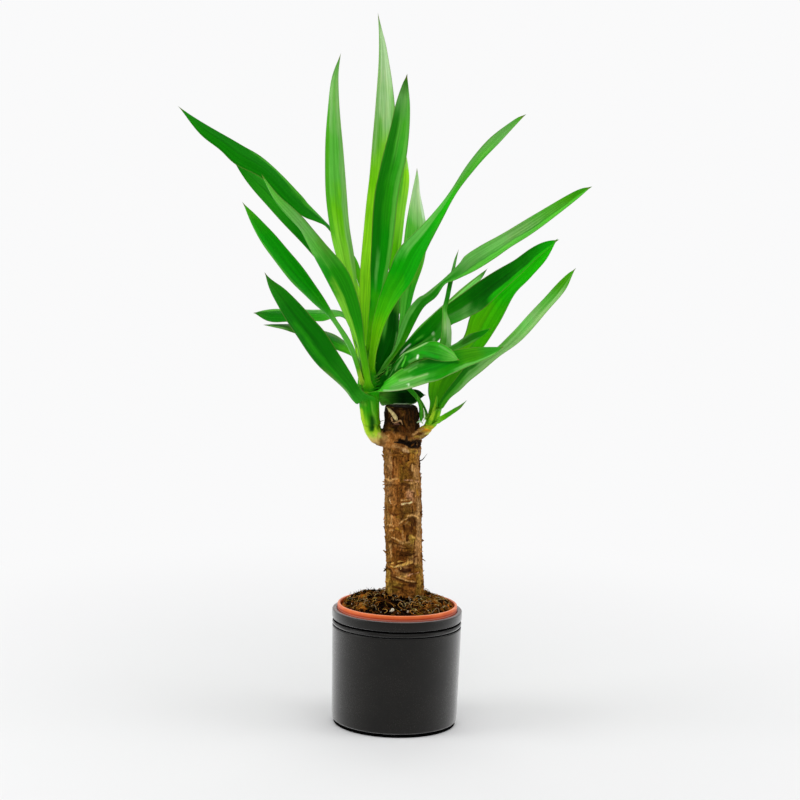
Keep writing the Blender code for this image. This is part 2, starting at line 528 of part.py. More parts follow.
# A dried bract curls on the front of the cane's cut top.
HUSK = [((387, 408), (386.5, 411), -12.5), ((390, 409), (389, 413.5), -13.5),
        ((393.5, 411), (392, 417), -14.6), ((397.5, 414.5), (394, 420.5), -15.4),
        ((400, 419), (396, 424), -15.6), ((401.5, 424.5), (399, 426), -15.2)]
bm = bmesh.new()
rings = []
for (ua, va), (ub, vb), d in HUSK:
    pa, pb = sight(ua, va, d), sight(ub, vb, d + 0.8)
    mid = (pa + pb) / 2
    crown, back = Vector((0, -0.0009, 0)), Vector((0, 0.0004, 0))
    rings.append([bm.verts.new(p) for p in (pa, mid + crown, pb, mid + back)])
for low, high in zip(rings, rings[1:]):
    for k in range(4):
        bm.faces.new((low[k], low[(k + 1) % 4], high[(k + 1) % 4], high[k]))
bm.faces.new(list(reversed(rings[0])))
bm.faces.new(rings[-1])
bmesh.ops.recalc_face_normals(bm, faces=bm.faces)
husk_mesh = bpy.data.meshes.new("dried_bract")
bm.to_mesh(husk_mesh)
bm.free()
add("dried_bract", husk_mesh, husk)
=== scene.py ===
"""Looks for a potted yucca: fine leaves, bark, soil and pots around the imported
CAD model, which is in metres with +Z up.

Leaves, shoots and cane repeat the construction of the CAD model. The plant is
laid out on a perspective elevation drawn from the front: each outline point is
a (u, v) pair on that drawing, and a depth in millimetres says how far behind
the pot's centre plane it lies. sight() turns them into a point in space.
"""

import math
import random

import bpy
import numpy as np
from mathutils import Matrix, Vector, noise


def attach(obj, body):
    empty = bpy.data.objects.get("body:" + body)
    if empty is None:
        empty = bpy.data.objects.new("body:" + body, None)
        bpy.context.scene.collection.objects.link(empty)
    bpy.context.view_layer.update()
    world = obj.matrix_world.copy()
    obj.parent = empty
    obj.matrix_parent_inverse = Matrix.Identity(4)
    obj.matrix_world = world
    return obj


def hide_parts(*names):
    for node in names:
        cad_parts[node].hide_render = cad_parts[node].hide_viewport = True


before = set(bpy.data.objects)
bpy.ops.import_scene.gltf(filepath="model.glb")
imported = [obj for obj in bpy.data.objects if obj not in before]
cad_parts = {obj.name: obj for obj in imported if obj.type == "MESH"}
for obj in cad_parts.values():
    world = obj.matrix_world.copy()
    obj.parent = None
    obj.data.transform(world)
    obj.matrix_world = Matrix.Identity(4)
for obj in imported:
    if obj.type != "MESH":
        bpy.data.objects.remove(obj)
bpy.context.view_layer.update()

# ---------------------------------------------------------------- the drawing
EYE = Vector((-0.0033, -2.360, 0.653))
TILT = math.radians(7.2)
LEAN = math.radians(1.6)
SCALE = 2209.0
CENTRE = (400.0, 400.0)
WHITE = 0.955               # the studio's white


def sight(u, v, depth):
    """The point whose place on the elevation is (u, v), depth mm behind the
    pot's centre plane."""
    du, dv = u - CENTRE[0], v - CENTRE[1]
    a = (du * math.cos(LEAN) + dv * math.sin(LEAN)) / SCALE
    b = (dv * math.cos(LEAN) - du * math.sin(LEAN)) / SCALE
    ray = Vector((a, math.cos(TILT) - b * math.sin(TILT),
                  -math.sin(TILT) - b * math.cos(TILT)))
    return EYE + ray * ((depth / 1000.0 - EYE.y) / ray.y)


def drawn(p):
    """(u, v) of points, given as an array of rows x, y, z."""
    d = np.asarray(p, float) - np.array(EYE)
    ahead = d[:, 1] * math.cos(TILT) - d[:, 2] * math.sin(TILT)
    a = d[:, 0] / ahead
    b = -(d[:, 1] * math.sin(TILT) + d[:, 2] * math.cos(TILT)) / ahead
    u = SCALE * (a * math.cos(LEAN) - b * math.sin(LEAN)) + CENTRE[0]
    v = SCALE * (a * math.sin(LEAN) + b * math.cos(LEAN)) + CENTRE[1]
    return u, v


def through(points, count):
    """count + 1 points, evenly spaced along a smooth curve through points."""
    ends = [points[0] * 2 - points[1]] + points + [points[-1] * 2 - points[-2]]
    fine = []
    for i in range(1, len(ends) - 2):
        p0, p1, p2, p3 = ends[i - 1:i + 3]
        for k in range(12):
            t = k / 12
            fine.append(0.5 * ((2 * p1) + (p2 - p0) * t
                        + (2 * p0 - 5 * p1 + 4 * p2 - p3) * t * t
                        + (3 * p1 - p0 - 3 * p2 + p3) * t ** 3))
    fine.append(points[-1])
    run = [0.0]
    for a, b in zip(fine, fine[1:]):
        run.append(run[-1] + (b - a).length)
    out, j = [], 0
    for k in range(count + 1):
        want = run[-1] * k / count
        while j < len(run) - 2 and run[j + 1] < want:
            j += 1
        span = max(run[j + 1] - run[j], 1e-12)
        out.append(fine[j].lerp(fine[j + 1], (want - run[j]) / span))
    return out


def blend(values, t):
    """A smooth curve through values spread evenly over 0..1, read at t."""
    n = len(values) - 1
    i = min(int(t * n), n - 1)
    f = t * n - i
    p = [values[0] * 2 - values[1]] + list(values) + [values[-1] * 2 - values[-2]]
    p0, p1, p2, p3 = p[i:i + 4]
    return 0.5 * (2 * p1 + (p2 - p0) * f + (2 * p0 - 5 * p1 + 4 * p2 - p3) * f * f
                  + (3 * p1 - p0 - 3 * p2 + p3) * f ** 3)


def smooth(x, low, high):
    """0 below low, 1 above high, eased between; takes arrays."""
    t = np.clip((np.asarray(x, float) - low) / (high - low), 0.0, 1.0)
    return t * t * (3 - 2 * t)


def linear(rgb):
    """A colour given as 0..255 display values, in linear light."""
    out = []
    for c in rgb:
        c = c / 255.0
        out.append(c / 12.92 if c <= 0.04045 else ((c + 0.055) / 1.055) ** 2.4)
    return np.array(out)


def rough(p, scale, octaves=4, seed=0.0):
    """Fractal noise, about -1..1, at each row of p, features 1/scale across."""
    out = np.empty(len(p))
    shift = Vector((seed * 7.31, seed * 3.17, seed * 5.73))
    for i, (x, y, z) in enumerate(p):
        out[i] = noise.fractal(Vector((x, y, z)) * scale + shift, 0.9, 2.1, octaves)
    return out


# --------------------------------------------------------------------- meshes
def plain_mesh(name, points, faces, tint=None, grain=None, uv=None, smooth_it=True):
    """A mesh from arrays, with its colour, grain and UV attributes."""
    mesh = bpy.data.meshes.new(name)
    mesh.from_pydata([tuple(map(float, p)) for p in points], [], faces)
    mesh.update()
    if tint is not None:
        rgba = np.ones((len(points), 4), np.float32)
        rgba[:, :3] = np.clip(tint, 0.0, 1.0)
        layer = mesh.attributes.new("tint", "FLOAT_COLOR", "POINT")
        layer.data.foreach_set("color", rgba.ravel())
    if grain is not None:
        layer = mesh.attributes.new("grain", "FLOAT_VECTOR", "POINT")
        layer.data.foreach_set("vector", np.asarray(grain, np.float32).ravel())
    corner = np.empty(len(mesh.loops), np.int32)
    mesh.loops.foreach_get("vertex_index", corner)
    if uv is not None:
        layer = mesh.uv_layers.new(name="UVMap")
        layer.data.foreach_set("uv", np.asarray(uv, np.float32)[corner].ravel())
    if smooth_it:
        mesh.shade_smooth()
    return mesh


def piece(name, mesh, finish, stands_for=()):
    obj = bpy.data.objects.new(name, mesh)
    bpy.context.scene.collection.objects.link(obj)
    mesh.materials.append(finish)
    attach(obj, "root")
    if stands_for:
        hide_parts(*stands_for)
    return obj


class Heap:
    """Many small bodies gathered into one mesh."""

    def __init__(self):
        self.points, self.faces, self.tints, self.count = [], [], [], 0

    def add(self, points, faces, tint):
        self.points.append(np.asarray(points, float))
        self.faces.extend(tuple(i + self.count for i in f) for f in faces)
        tint = np.asarray(tint, float)
        self.tints.append(np.broadcast_to(tint, (len(points), 3)) if tint.ndim == 1 else tint)
        self.count += len(points)

    def mesh(self, name, smooth_it=True):
        return plain_mesh(name, np.vstack(self.points), self.faces,
                          tint=np.vstack(self.tints), smooth_it=smooth_it)


def ring_faces(rings, sides, caps=True):
    """Faces of a tube whose rings are laid out one after another."""
    faces = []
    for r in range(rings - 1):
        a, b = r * sides, (r + 1) * sides
        for k in range(sides):
            n = (k + 1) % sides
            faces.append((a + k, a + n, b + n, b + k))
    if caps:
        faces.append(tuple(range(sides - 1, -1, -1)))
        faces.append(tuple((rings - 1) * sides + k for k in range(sides)))
    return faces


def tube_points(centres, radii, sides, start=(0, -1, 0)):
    """Rings of points along centres, as one array."""
    out = []
    side = Vector(start)
    for i, (c, r) in enumerate(zip(centres, radii)):
        along = (centres[min(i + 1, len(centres) - 1)] - centres[max(i - 1, 0)]).normalized()
        side = (side - along * side.dot(along)).normalized()
        up = along.cross(side)
        for k in range(sides):
            a = 2 * math.pi * k / sides
            out.append(c + (side * math.cos(a) + up * math.sin(a)) * r)
    return np.array([tuple(p) for p in out])


def lathe(name, profile, steps, finish, stands_for, wobble=None):
    """A turned piece from a profile of (radius, z) that starts and ends on the
    axis, with sharp corners already rounded in the profile."""
    inner = profile[1:-1]
    pts = [(0.0, 0.0, profile[0][1])]
    for r, z in inner:
        for k in range(steps):
            a = 2 * math.pi * k / steps
            rr = r + (wobble(r, z, a) if wobble else 0.0)
            pts.append((rr * math.cos(a), rr * math.sin(a), z))
    pts.append((0.0, 0.0, profile[-1][1]))
    last = len(pts) - 1
    faces = []
    for k in range(steps):
        faces.append((0, 1 + (k + 1) % steps, 1 + k))
        base = 1 + (len(inner) - 1) * steps
        faces.append((last, base + k, base + (k + 1) % steps))
    for j in range(len(inner) - 1):
        a, b = 1 + j * steps, 1 + (j + 1) * steps
        for k in range(steps):
            n = (k + 1) % steps
            faces.append((a + k, a + n, b + n, b + k))
    mesh = plain_mesh(name, pts, faces)
    return piece(name, mesh, finish, stands_for)


def rounded(points, radius, steps=5):
    """A profile with its inner corners rounded; radius may be one number or
    one for each corner."""
    out = [points[0]]
    for i in range(1, len(points) - 1):
        r = radius[i] if isinstance(radius, (list, tuple)) else radius
        p0, p1, p2 = (Vector(points[i + k]) for k in (-1, 0, 1))
        a, b = (p0 - p1), (p2 - p1)
        cut = min(r, a.length * 0.45, b.length * 0.45)
        if cut < 1e-6:
            out.append(tuple(p1))
            continue
        s, e = p1 + a.normalized() * cut, p1 + b.normalized() * cut
        for k in range(steps + 1):
            f = k / steps
            q = s * (1 - f) ** 2 + p1 * 2 * f * (1 - f) + e * f * f
            out.append((q.x, q.y))
    out.append(points[-1])
    return out


# ------------------------------------------------------------------ materials
class Finish:
    """A node material under construction."""

    def __init__(self, name):
        self.mat = bpy.data.materials.new(name)
        self.mat.use_nodes = True
        self.nodes = self.mat.node_tree.nodes
        self.links = self.mat.node_tree.links
        self.nodes.clear()
        self.out = self.nodes.new("ShaderNodeOutputMaterial")
        self.shader = self.nodes.new("ShaderNodeBsdfPrincipled")
        self.links.new(self.shader.outputs[0], self.out.inputs["Surface"])

    def put(self, socket, value):
        """Sets a socket to a number, a colour or another node's output."""
        if hasattr(value, "node"):
            self.links.new(value, socket)
        elif isinstance(value, (tuple, list, np.ndarray)):
            value = tuple(float(x) for x in value)
            socket.default_value = value + (1.0,) if len(value) == 3 and len(socket.default_value) == 4 else value
        else:
            socket.default_value = value

    def set(self, **values):
        for name, value in values.items():
            self.put(self.shader.inputs[name.replace("_", " ")], value)

    def attribute(self, name, output="Color"):
        node = self.nodes.new("ShaderNodeAttribute")
        node.attribute_name = name
        return node.outputs[output]

    def place(self):
        return self.nodes.new("ShaderNodeTexCoord").outputs["Object"]

    def uv(self):
        return self.nodes.new("ShaderNodeTexCoord").outputs["UV"]

    def scaled(self, vector, scale, shift=(0, 0, 0)):
        node = self.nodes.new("ShaderNodeMapping")
        self.put(node.inputs["Vector"], vector)
        node.inputs["Scale"].default_value = scale
        node.inputs["Location"].default_value = shift
        return node.outputs[0]

    def noise(self, vector, scale=1.0, detail=3.0, rough=0.55, warp=0.0):
        node = self.nodes.new("ShaderNodeTexNoise")
        self.put(node.inputs["Vector"], vector)
        node.inputs["Scale"].default_value = scale
        node.inputs["Detail"].default_value = detail
        node.inputs["Roughness"].default_value = rough
        node.inputs["Distortion"].default_value = warp
        return node.outputs["Fac"]

    def cells(self, vector, scale, feature="F1"):
        node = self.nodes.new("ShaderNodeTexVoronoi")
        node.feature = feature
        self.put(node.inputs["Vector"], vector)
        node.inputs["Scale"].default_value = scale
        return node.outputs["Distance"]

    def ramp(self, value, stops, kind="LINEAR"):
        """stops: (place, colour or grey level)."""
        node = self.nodes.new("ShaderNodeValToRGB")
        self.put(node.inputs[0], value)
        node.color_ramp.interpolation = kind
        band = node.color_ramp.elements
        while len(band) < len(stops):
            band.new(0.5)
        for e, (p, c) in zip(band, stops):
            e.position = p
            c = (c, c, c) if isinstance(c, (int, float)) else tuple(float(x) for x in c)
            e.color = c + (1.0,)
        return node.outputs[0]

    def fit(self, value, low, high, to_low=0.0, to_high=1.0):
        node = self.nodes.new("ShaderNodeMapRange")
        node.interpolation_type = "SMOOTHSTEP"
        self.put(node.inputs["Value"], value)
        for key, v in (("From Min", low), ("From Max", high), ("To Min", to_low), ("To Max", to_high)):
            node.inputs[key].default_value = v
        return node.outputs[0]

    def mix(self, factor, a, b, kind="MIX"):
        node = self.nodes.new("ShaderNodeMix")
        node.data_type = "RGBA"
        node.blend_type = kind
        self.put(node.inputs[0], factor)
        self.put(node.inputs[6], a)
        self.put(node.inputs[7], b)
        return node.outputs[2]

    def sum(self, kind, a, b=0.0, c=None):
        node = self.nodes.new("ShaderNodeMath")
        node.operation = kind
        self.put(node.inputs[0], a)
        self.put(node.inputs[1], b)
        if c is not None:
            self.put(node.inputs[2], c)
        return node.outputs[0]

    def part(self, vector, axis):
        node = self.nodes.new("ShaderNodeSeparateXYZ")
        self.put(node.inputs[0], vector)
        return node.outputs[axis]

    def bump(self, height, strength, distance, under=None):
        node = self.nodes.new("ShaderNodeBump")
        node.inputs["Strength"].default_value = strength
        node.inputs["Distance"].default_value = distance
        self.put(node.inputs["Height"], height)
        if under is not None:
            self.put(node.inputs["Normal"], under)
        return node.outputs[0]


def leaf_finish(name, gloss):
    """Leaf skin: the tint, streaked along the veins, with a satin sheen."""
    f = Finish(name)
    tint, grain, uv = f.attribute("tint"), f.attribute("grain", "Vector"), f.uv()
    streak = f.noise(f.scaled(grain, (0.55, 0.012, 1.0)), 1.0, 3.0, 0.6)
    vein = f.noise(f.scaled(grain, (2.6, 0.02, 1.0), (3, 1, 0)), 1.0, 2.0, 0.5)
    cloud = f.noise(f.scaled(grain, (0.10, 0.03, 1.0), (9, 4, 0)), 1.0, 3.0, 0.6)
    fleck = f.noise(f.scaled(grain, (1.6, 0.6, 1.0), (1, 7, 0)), 1.0, 2.0, 0.6)
    c = f.mix(f.fit(streak, 0.34, 0.66, 0.0, 0.42), tint,
              f.mix(1.0, tint, (1.55, 1.25, 1.9), "MULTIPLY"))
    c = f.mix(f.fit(streak, 0.62, 0.36, 0.0, 0.36), c,
              f.mix(1.0, c, (0.45, 0.62, 0.5), "MULTIPLY"))
    c = f.mix(f.fit(vein, 0.42, 0.62, 0.0, 0.34), c, f.mix(1.0, c, (0.45, 0.66, 0.5), "MULTIPLY"))
    c = f.mix(f.fit(cloud, 0.45, 0.70, 0.0, 0.30), c, f.mix(1.0, c, (1.5, 1.12, 1.1), "MULTIPLY"))
    c = f.mix(f.fit(fleck, 0.66, 0.74, 0.0, 0.16), c, (0.28, 0.33, 0.08))
    across = f.sum("ABSOLUTE", f.sum("MULTIPLY_ADD", f.part(uv, 0), 2.0, -1.0))
    rim = f.fit(across, 0.90, 1.0, 0.0, 0.50)
    c = f.mix(rim, c, (0.17, 0.19, 0.045))
    f.set(Base_Color=c)
    f.set(Roughness=f.fit(cloud, 0.3, 0.7, gloss - 0.05, gloss + 0.09))
    f.shader.inputs["Specular IOR Level"].default_value = 0.03
    height = f.sum("ADD", f.sum("MULTIPLY", vein, 0.7), streak)
    f.set(Normal=f.bump(height, 0.35, 0.0005))
    return f.mat


# -------------------------------------------------------------- camera, studio
def studio():
    scene = bpy.context.scene
    camera = bpy.data.cameras.new("camera")
    camera.sensor_width = 36.0
    camera.lens = SCALE / 800.0 * 36.0
    camera.clip_start, camera.clip_end = 0.05, 60.0
    eye = bpy.data.objects.new("camera", camera)
    scene.collection.objects.link(eye)
    right = Vector((1, 0, 0))
    up = Vector((0, math.sin(TILT), math.cos(TILT)))
    back = Vector((0, -math.cos(TILT), math.sin(TILT)))
    across = right * math.cos(LEAN) + up * math.sin(LEAN)
    upward = up * math.cos(LEAN) - right * math.sin(LEAN)
    turn = Matrix((across, upward, back)).transposed().to_4x4()
    eye.matrix_world = Matrix.Translation(EYE) @ turn
    scene.camera = eye
    scene.view_settings.view_transform = "Standard"
    scene.view_settings.look = "None"

    world = bpy.data.worlds.new("studio")
    scene.world = world
    world.use_nodes = True
    t = world.node_tree
    t.nodes.clear()
    out = t.nodes.new("ShaderNodeOutputWorld")
    seen = t.nodes.new("ShaderNodeBackground")
    seen.inputs["Color"].default_value = (WHITE, WHITE, WHITE * 1.004, 1)
    lit = t.nodes.new("ShaderNodeBackground")
    lit.inputs["Strength"].default_value = 0.62
    coord = t.nodes.new("ShaderNodeTexCoord")
    split = t.nodes.new("ShaderNodeSeparateXYZ")
    t.links.new(coord.outputs["Generated"], split.inputs[0])
    shade = t.nodes.new("ShaderNodeValToRGB")
    band = shade.color_ramp.elements
    band[0].position, band[0].color = 0.30, (0.55, 0.55, 0.55, 1)
    band[1].position, band[1].color = 0.95, (1.0, 1.0, 1.0, 1)
    lift = t.nodes.new("ShaderNodeMath")
    lift.operation = "MULTIPLY_ADD"
    lift.inputs[1].default_value, lift.inputs[2].default_value = 0.5, 0.5
    t.links.new(split.outputs[2], lift.inputs[0])
    t.links.new(lift.outputs[0], shade.inputs[0])
    t.links.new(shade.outputs[0], lit.inputs["Color"])
    path = t.nodes.new("ShaderNodeLightPath")
    both = t.nodes.new("ShaderNodeMixShader")
    t.links.new(path.outputs["Is Camera Ray"], both.inputs[0])
    t.links.new(lit.outputs[0], both.inputs[1])
    t.links.new(seen.outputs[0], both.inputs[2])
    t.links.new(both.outputs[0], out.inputs["Surface"])

    def softbox(name, place, aim, width, height, power):
        light = bpy.data.lights.new(name, "AREA")
        light.shape = "RECTANGLE"
        light.size, light.size_y, light.energy = width, height, power
        obj = bpy.data.objects.new(name, light)
        scene.collection.objects.link(obj)
        obj.location = place
        obj.rotation_euler = (Vector(aim) - Vector(place)).to_track_quat("-Z", "Y").to_euler()

    softbox("left_box", (-1.7, -0.5, 0.9), (0, 0, 0.38), 1.1, 1.6, 15.0)
    softbox("right_box", (1.8, -0.2, 0.9), (0, 0, 0.38), 1.1, 1.6, 10.0)
    softbox("top_box", (0.2, -0.5, 2.3), (0, 0, 0.35), 1.8, 1.4, 16.0)
    softbox("back_box", (0.0, 1.7, 1.5), (0, 0, 0.5), 2.0, 1.2, 10.0)

    f = Finish("studio_floor")
    place = f.place()
    away = f.nodes.new("ShaderNodeVectorMath")
    away.operation = "LENGTH"
    f.put(away.inputs[0], f.scaled(place, (1.0, 0.8, 1.0)))
    far = f.fit(away.outputs["Value"], 0.30, 0.85)
    glow = f.nodes.new("ShaderNodeEmission")
    glow.inputs["Color"].default_value = (WHITE, WHITE, WHITE * 1.004, 1)
    pale = f.nodes.new("ShaderNodeBsdfDiffuse")
    pale.inputs["Color"].default_value = (0.80, 0.80, 0.805, 1)
    join = f.nodes.new("ShaderNodeMixShader")
    f.put(join.inputs[0], far)
    f.links.new(pale.outputs[0], join.inputs[1])
    f.links.new(glow.outputs[0], join.inputs[2])
    f.links.new(join.outputs[0], f.out.inputs["Surface"])
    f.nodes.remove(f.shader)
    n = 48
    floor = bpy.data.meshes.new("studio_floor")
    ring = [(9.0 * math.cos(2 * math.pi * k / n), 9.0 * math.sin(2 * math.pi * k / n), -0.0004)
            for k in range(n)]
    floor.from_pydata(ring, [], [tuple(range(n))])
    floor.materials.append(f.mat)
    obj = bpy.data.objects.new("studio_floor", floor)
    scene.collection.objects.link(obj)


studio()

# -------------------------------------------------------------------- the pots
GAP = 0.0003
POT_HEIGHT, POT_RIM_R, POT_FOOT_R, POT_FLOOR = 0.126, 0.0709, 0.0686, 0.0070
POT_INNER_TOP_R, POT_INNER_FOOT_R = 0.0659, 0.0636
NURSERY_TOP, NURSERY_RIM_R, NURSERY_LIP = 0.1320, 0.0653, 0.0110
NURSERY_BODY_TOP_R, NURSERY_BASE_R, NURSERY_WALL = 0.0632, 0.0480, 0.0013


def glaze_finish():
    """Near-black satin glaze with a faint speckle and brushed rings; the bottom few millimetres are painted black as
    shade at the foot, and the underside is left as bare clay."""
    f = Finish("black_glaze")
    place = f.place()
    speck = f.noise(place, 900.0, 2.0, 0.6)
    cloud = f.noise(place, 28.0, 4.0, 0.6)
    rings = f.noise(f.scaled(place, (6.0, 6.0, 900.0)), 1.0, 2.0, 0.5)
    c = f.ramp(cloud, [(0.30, (0.0036, 0.0031, 0.0023)), (0.70, (0.0078, 0.0067, 0.0052))])
    c = f.mix(f.fit(speck, 0.60, 0.72, 0.0, 0.5), c, (0.024, 0.021, 0.018))
    z = f.part(place, 2)
    clay = f.fit(z, 0.00006, 0.00002)
    # painted shade: black below about 3 mm, where the foot meets the floor
    foot = f.fit(z, 0.0036, 0.0030)
    c = f.mix(foot, c, (0.0012, 0.0011, 0.0010))
    c = f.mix(clay, c, (0.30, 0.25, 0.20))
    f.set(Base_Color=c)
    r = f.sum("ADD", f.fit(cloud, 0.3, 0.7, 0.20, 0.27), f.fit(speck, 0.5, 0.7, 0.0, 0.06))
    bead = f.sum("MULTIPLY", f.fit(z, POT_HEIGHT - 0.0170, POT_HEIGHT - 0.0164), f.fit(z, POT_HEIGHT - 0.0128, POT_HEIGHT - 0.0134))
    r = f.sum("MULTIPLY", r, f.fit(bead, 0.0, 1.0, 1.0, 0.40))
    f.set(Roughness=f.sum("ADD", r, f.sum("MULTIPLY", foot, 0.60)))
    f.shader.inputs["Specular IOR Level"].default_value = 0.14
    f.shader.inputs["Sheen Weight"].default_value = 0.84
    f.shader.inputs["Sheen Roughness"].default_value = 0.42
    h = f.sum("ADD", f.sum("MULTIPLY", cloud, 2.2), f.sum("ADD", f.sum("MULTIPLY", rings, 0.35), f.sum("MULTIPLY", speck, 0.25)))
    f.set(Normal=f.bump(h, 0.22, 0.0006))
    return f.mat


def terracotta_finish():
    """Moulded terracotta-coloured plastic, a little dusty at its lip, with painted light: lighter towards the top of
    the lip and darker below, with painted highlights along its top edge and where it meets the cachepot.
    """
    f = Finish("terracotta_plastic")
    place = f.place()
    cloud = f.noise(place, 60.0, 4.0, 0.6)
    fine = f.noise(place, 1400.0, 2.0, 0.6)
    z = f.part(place, 2)
    # painted light and shade: the lip's colour runs from darker below to lighter at its top
    low = f.ramp(cloud, [(0.30, linear((170, 50, 8))), (0.72, linear((192, 66, 16)))])
    high = f.ramp(cloud, [(0.30, linear((214, 92, 36))), (0.72, linear((232, 116, 58)))])
    c = f.mix(f.fit(z, NURSERY_TOP - 0.0046, NURSERY_TOP - 0.0012), low, high)
    dust = f.fit(f.noise(place, 240.0, 4.0, 0.7), 0.56, 0.74, 0.0, 0.30)
    c = f.mix(dust, c, linear((168, 98, 54)))
    # painted highlight along the top edge of the lip
    c = f.mix(f.fit(z, NURSERY_TOP - 0.0007, NURSERY_TOP - 0.0002, 0.0, 0.55), c, linear((246, 160, 118)))
    # painted highlight along the line where the lip meets the cachepot's rim
    low_edge_highlight = f.sum("MULTIPLY", f.fit(z, POT_HEIGHT + 0.0001, POT_HEIGHT + 0.0004), f.fit(z, POT_HEIGHT + 0.0016, POT_HEIGHT + 0.0010))
    c = f.mix(f.sum("MULTIPLY", low_edge_highlight, 0.45), c, linear((226, 168, 146)))
    f.set(Base_Color=c)
    f.shader.inputs["Specular IOR Level"].default_value = 0.22
    f.set(Roughness=f.fit(fine, 0.3, 0.7, 0.30, 0.42))
    f.set(Normal=f.bump(fine, 0.10, 0.0003))
    return f.mat


def shade_black_finish():
    """Black and quite matt: painted shade, for the ring at the foot and the bottoms of the two grooves."""
    f = Finish("foot_ring")
    grain = f.noise(f.place(), 900.0, 3.0, 0.6)
    f.set(Base_Color=f.ramp(grain, [(0.30, (0.0006, 0.0006, 0.0006)), (0.70, (0.0016, 0.0015, 0.0014))]))
    f.set(Roughness=f.fit(grain, 0.3, 0.7, 0.85, 0.98))
    f.shader.inputs["Specular IOR Level"].default_value = 0.02
    f.set(Normal=f.bump(grain, 0.10, 0.0002))
    return f.mat


def pots():
    H, R = POT_HEIGHT, POT_RIM_R
    outer = [(0.0, H - 0.0175), (R - 0.0004, H - 0.0175)]
    profile = [
        (0.0, POT_FLOOR), (POT_INNER_FOOT_R, POT_FLOOR),
        (POT_INNER_TOP_R - 0.0004, H - 0.016), (POT_INNER_TOP_R, H - 0.0004),
        (POT_INNER_TOP_R + 0.0010, H), (R - 0.0002, H - 0.0001), (R, H - 0.0060),
        (R - 0.0005, H - 0.0101), (R - 0.0042, H - 0.0108), (R - 0.0042, H - 0.0125),
        (R - 0.0012, H - 0.0130), (R - 0.0002, H - 0.0148), (R - 0.0012, H - 0.0166), (R - 0.0030, H - 0.0169),
        (R - 0.0030, H - 0.0178), (R - 0.0006, H - 0.0184),
        (POT_FOOT_R, 0.012), (POT_FOOT_R - 0.0006, 0.0040), (POT_FOOT_R - 0.0046, 0.0027),
        (0.0, 0.0027)]
    radii = [0, 0.0065, 0.004, 0.0004, 0.0009, 0.0028, 0.0012,
             0.0008, 0.0005, 0.0005, 0.0011, 0.0016, 0.0005, 0.0004,
             0.0004, 0.0012, 0.003, 0.0026, 0.0005, 0]
    line = rounded(profile, radii, 6)
    # long straight runs get in-between rings, so that the wall can wander
    full = [line[0]]
    for a, b in zip(line, line[1:]):
        n = max(1, int(math.hypot(b[0] - a[0], b[1] - a[1]) / 0.004))
        full += [(a[0] + (b[0] - a[0]) * k / n, a[1] + (b[1] - a[1]) * k / n) for k in range(1, n + 1)]

    def wander(r, z, a):
        if r < 0.058 or z < 0.004:
            return 0.0
        return 0.00010 * noise.noise(Vector((math.cos(a) * 1.3, math.sin(a) * 1.3, z * 18)))

    lathe("cachepot_glazed", full, 288, glaze_finish(), ("cachepot",), wander)
    SHADE_BLACK = shade_black_finish()
    # a black ring at the foot: painted shade where the pot meets the floor
    F = POT_FOOT_R - 0.0022
    lathe("cachepot_foot_shade_ring", [(0.0, 0.0026), (F - 0.0002, 0.0026), (F, 0.0024), (F, 0.0003), (F - 0.0003, 0.0), (0.0, 0.0)],
          288, SHADE_BLACK, (), None)
    # the bottoms of the two grooves are lined with black rings: painted shade in the grooves
    for k, (r, z, half_deep, half_high) in enumerate(((R - 0.0026, H - 0.01165, 0.0016, 0.00078), (R - 0.0022, H - 0.01730, 0.0012, 0.00046))):
        pts, faces, n = [], [], 240
        for j in range(n):
            a = 2 * math.pi * j / n
            for c, d in ((-1, -1), (1, -1), (1, 1), (-1, 1)):
                pts.append(((r + c * half_deep) * math.cos(a), (r + c * half_deep) * math.sin(a), z + d * half_high))
        for j in range(n):
            m = (j + 1) % n
            for i in range(4):
                h = (i + 1) % 4
                faces.append((4 * j + i, 4 * m + i, 4 * m + h, 4 * j + h))
        name = "cachepot_groove_shade_%d" % (k + 1)
        piece(name, plain_mesh(name, pts, faces), SHADE_BLACK)

    T, L = NURSERY_TOP, NURSERY_LIP
    profile = [
        (0.0, POT_FLOOR + GAP + NURSERY_WALL), (NURSERY_BASE_R - NURSERY_WALL, POT_FLOOR + GAP + NURSERY_WALL),
        (NURSERY_BODY_TOP_R - NURSERY_WALL, T - L - 0.003), (NURSERY_RIM_R - 0.0034, T - 0.0012),
        (NURSERY_RIM_R - 0.0026, T), (NURSERY_RIM_R - 0.0004, T - 0.0001),
        (NURSERY_RIM_R, T - 0.0030), (NURSERY_RIM_R - 0.0002, T - L),
        (NURSERY_BODY_TOP_R, T - L), (NURSERY_BASE_R, POT_FLOOR + GAP), (0.0, POT_FLOOR + GAP)]
    radii = [0, 0.001, 0.004, 0.0008, 0.0009, 0.0011, 0.001, 0.0004, 0.0006, 0.0012, 0]
    lathe("nursery_pot_moulded", rounded(profile, radii, 6), 240, terracotta_finish(),
          ("nursery_pot",),
          lambda r, z, a: 0.00012 * noise.noise(Vector((math.cos(a) * 1.7, math.sin(a) * 1.7, 5.0))) if z > 0.11 else 0.0)


pots()

# -------------------------------------------------------------------- the cane
CANE_DEPTH = 10
CANE_FOOT_Z = 0.055
_foot = sight(405.0, 612, CANE_DEPTH)
CANE_LINE = [Vector((_foot.x + 0.0012, _foot.y, CANE_FOOT_Z))] + [
    sight(u, v, CANE_DEPTH) for u, v in (
        (405.0, 612), (404.6, 590), (404.0, 560), (403.2, 520), (402.6, 490),
        (402.0, 460), (401.6, 447), (401.5, 440), (401.6, 432), (401.7, 424),
        (401.7, 412), (401.6, 404.5))]
CANE_RADII = [0.0185, 0.0203, 0.0202, 0.0201, 0.0200, 0.0199, 0.0197,
              0.0207, 0.0214, 0.0205, 0.0186, 0.0184, 0.0177]


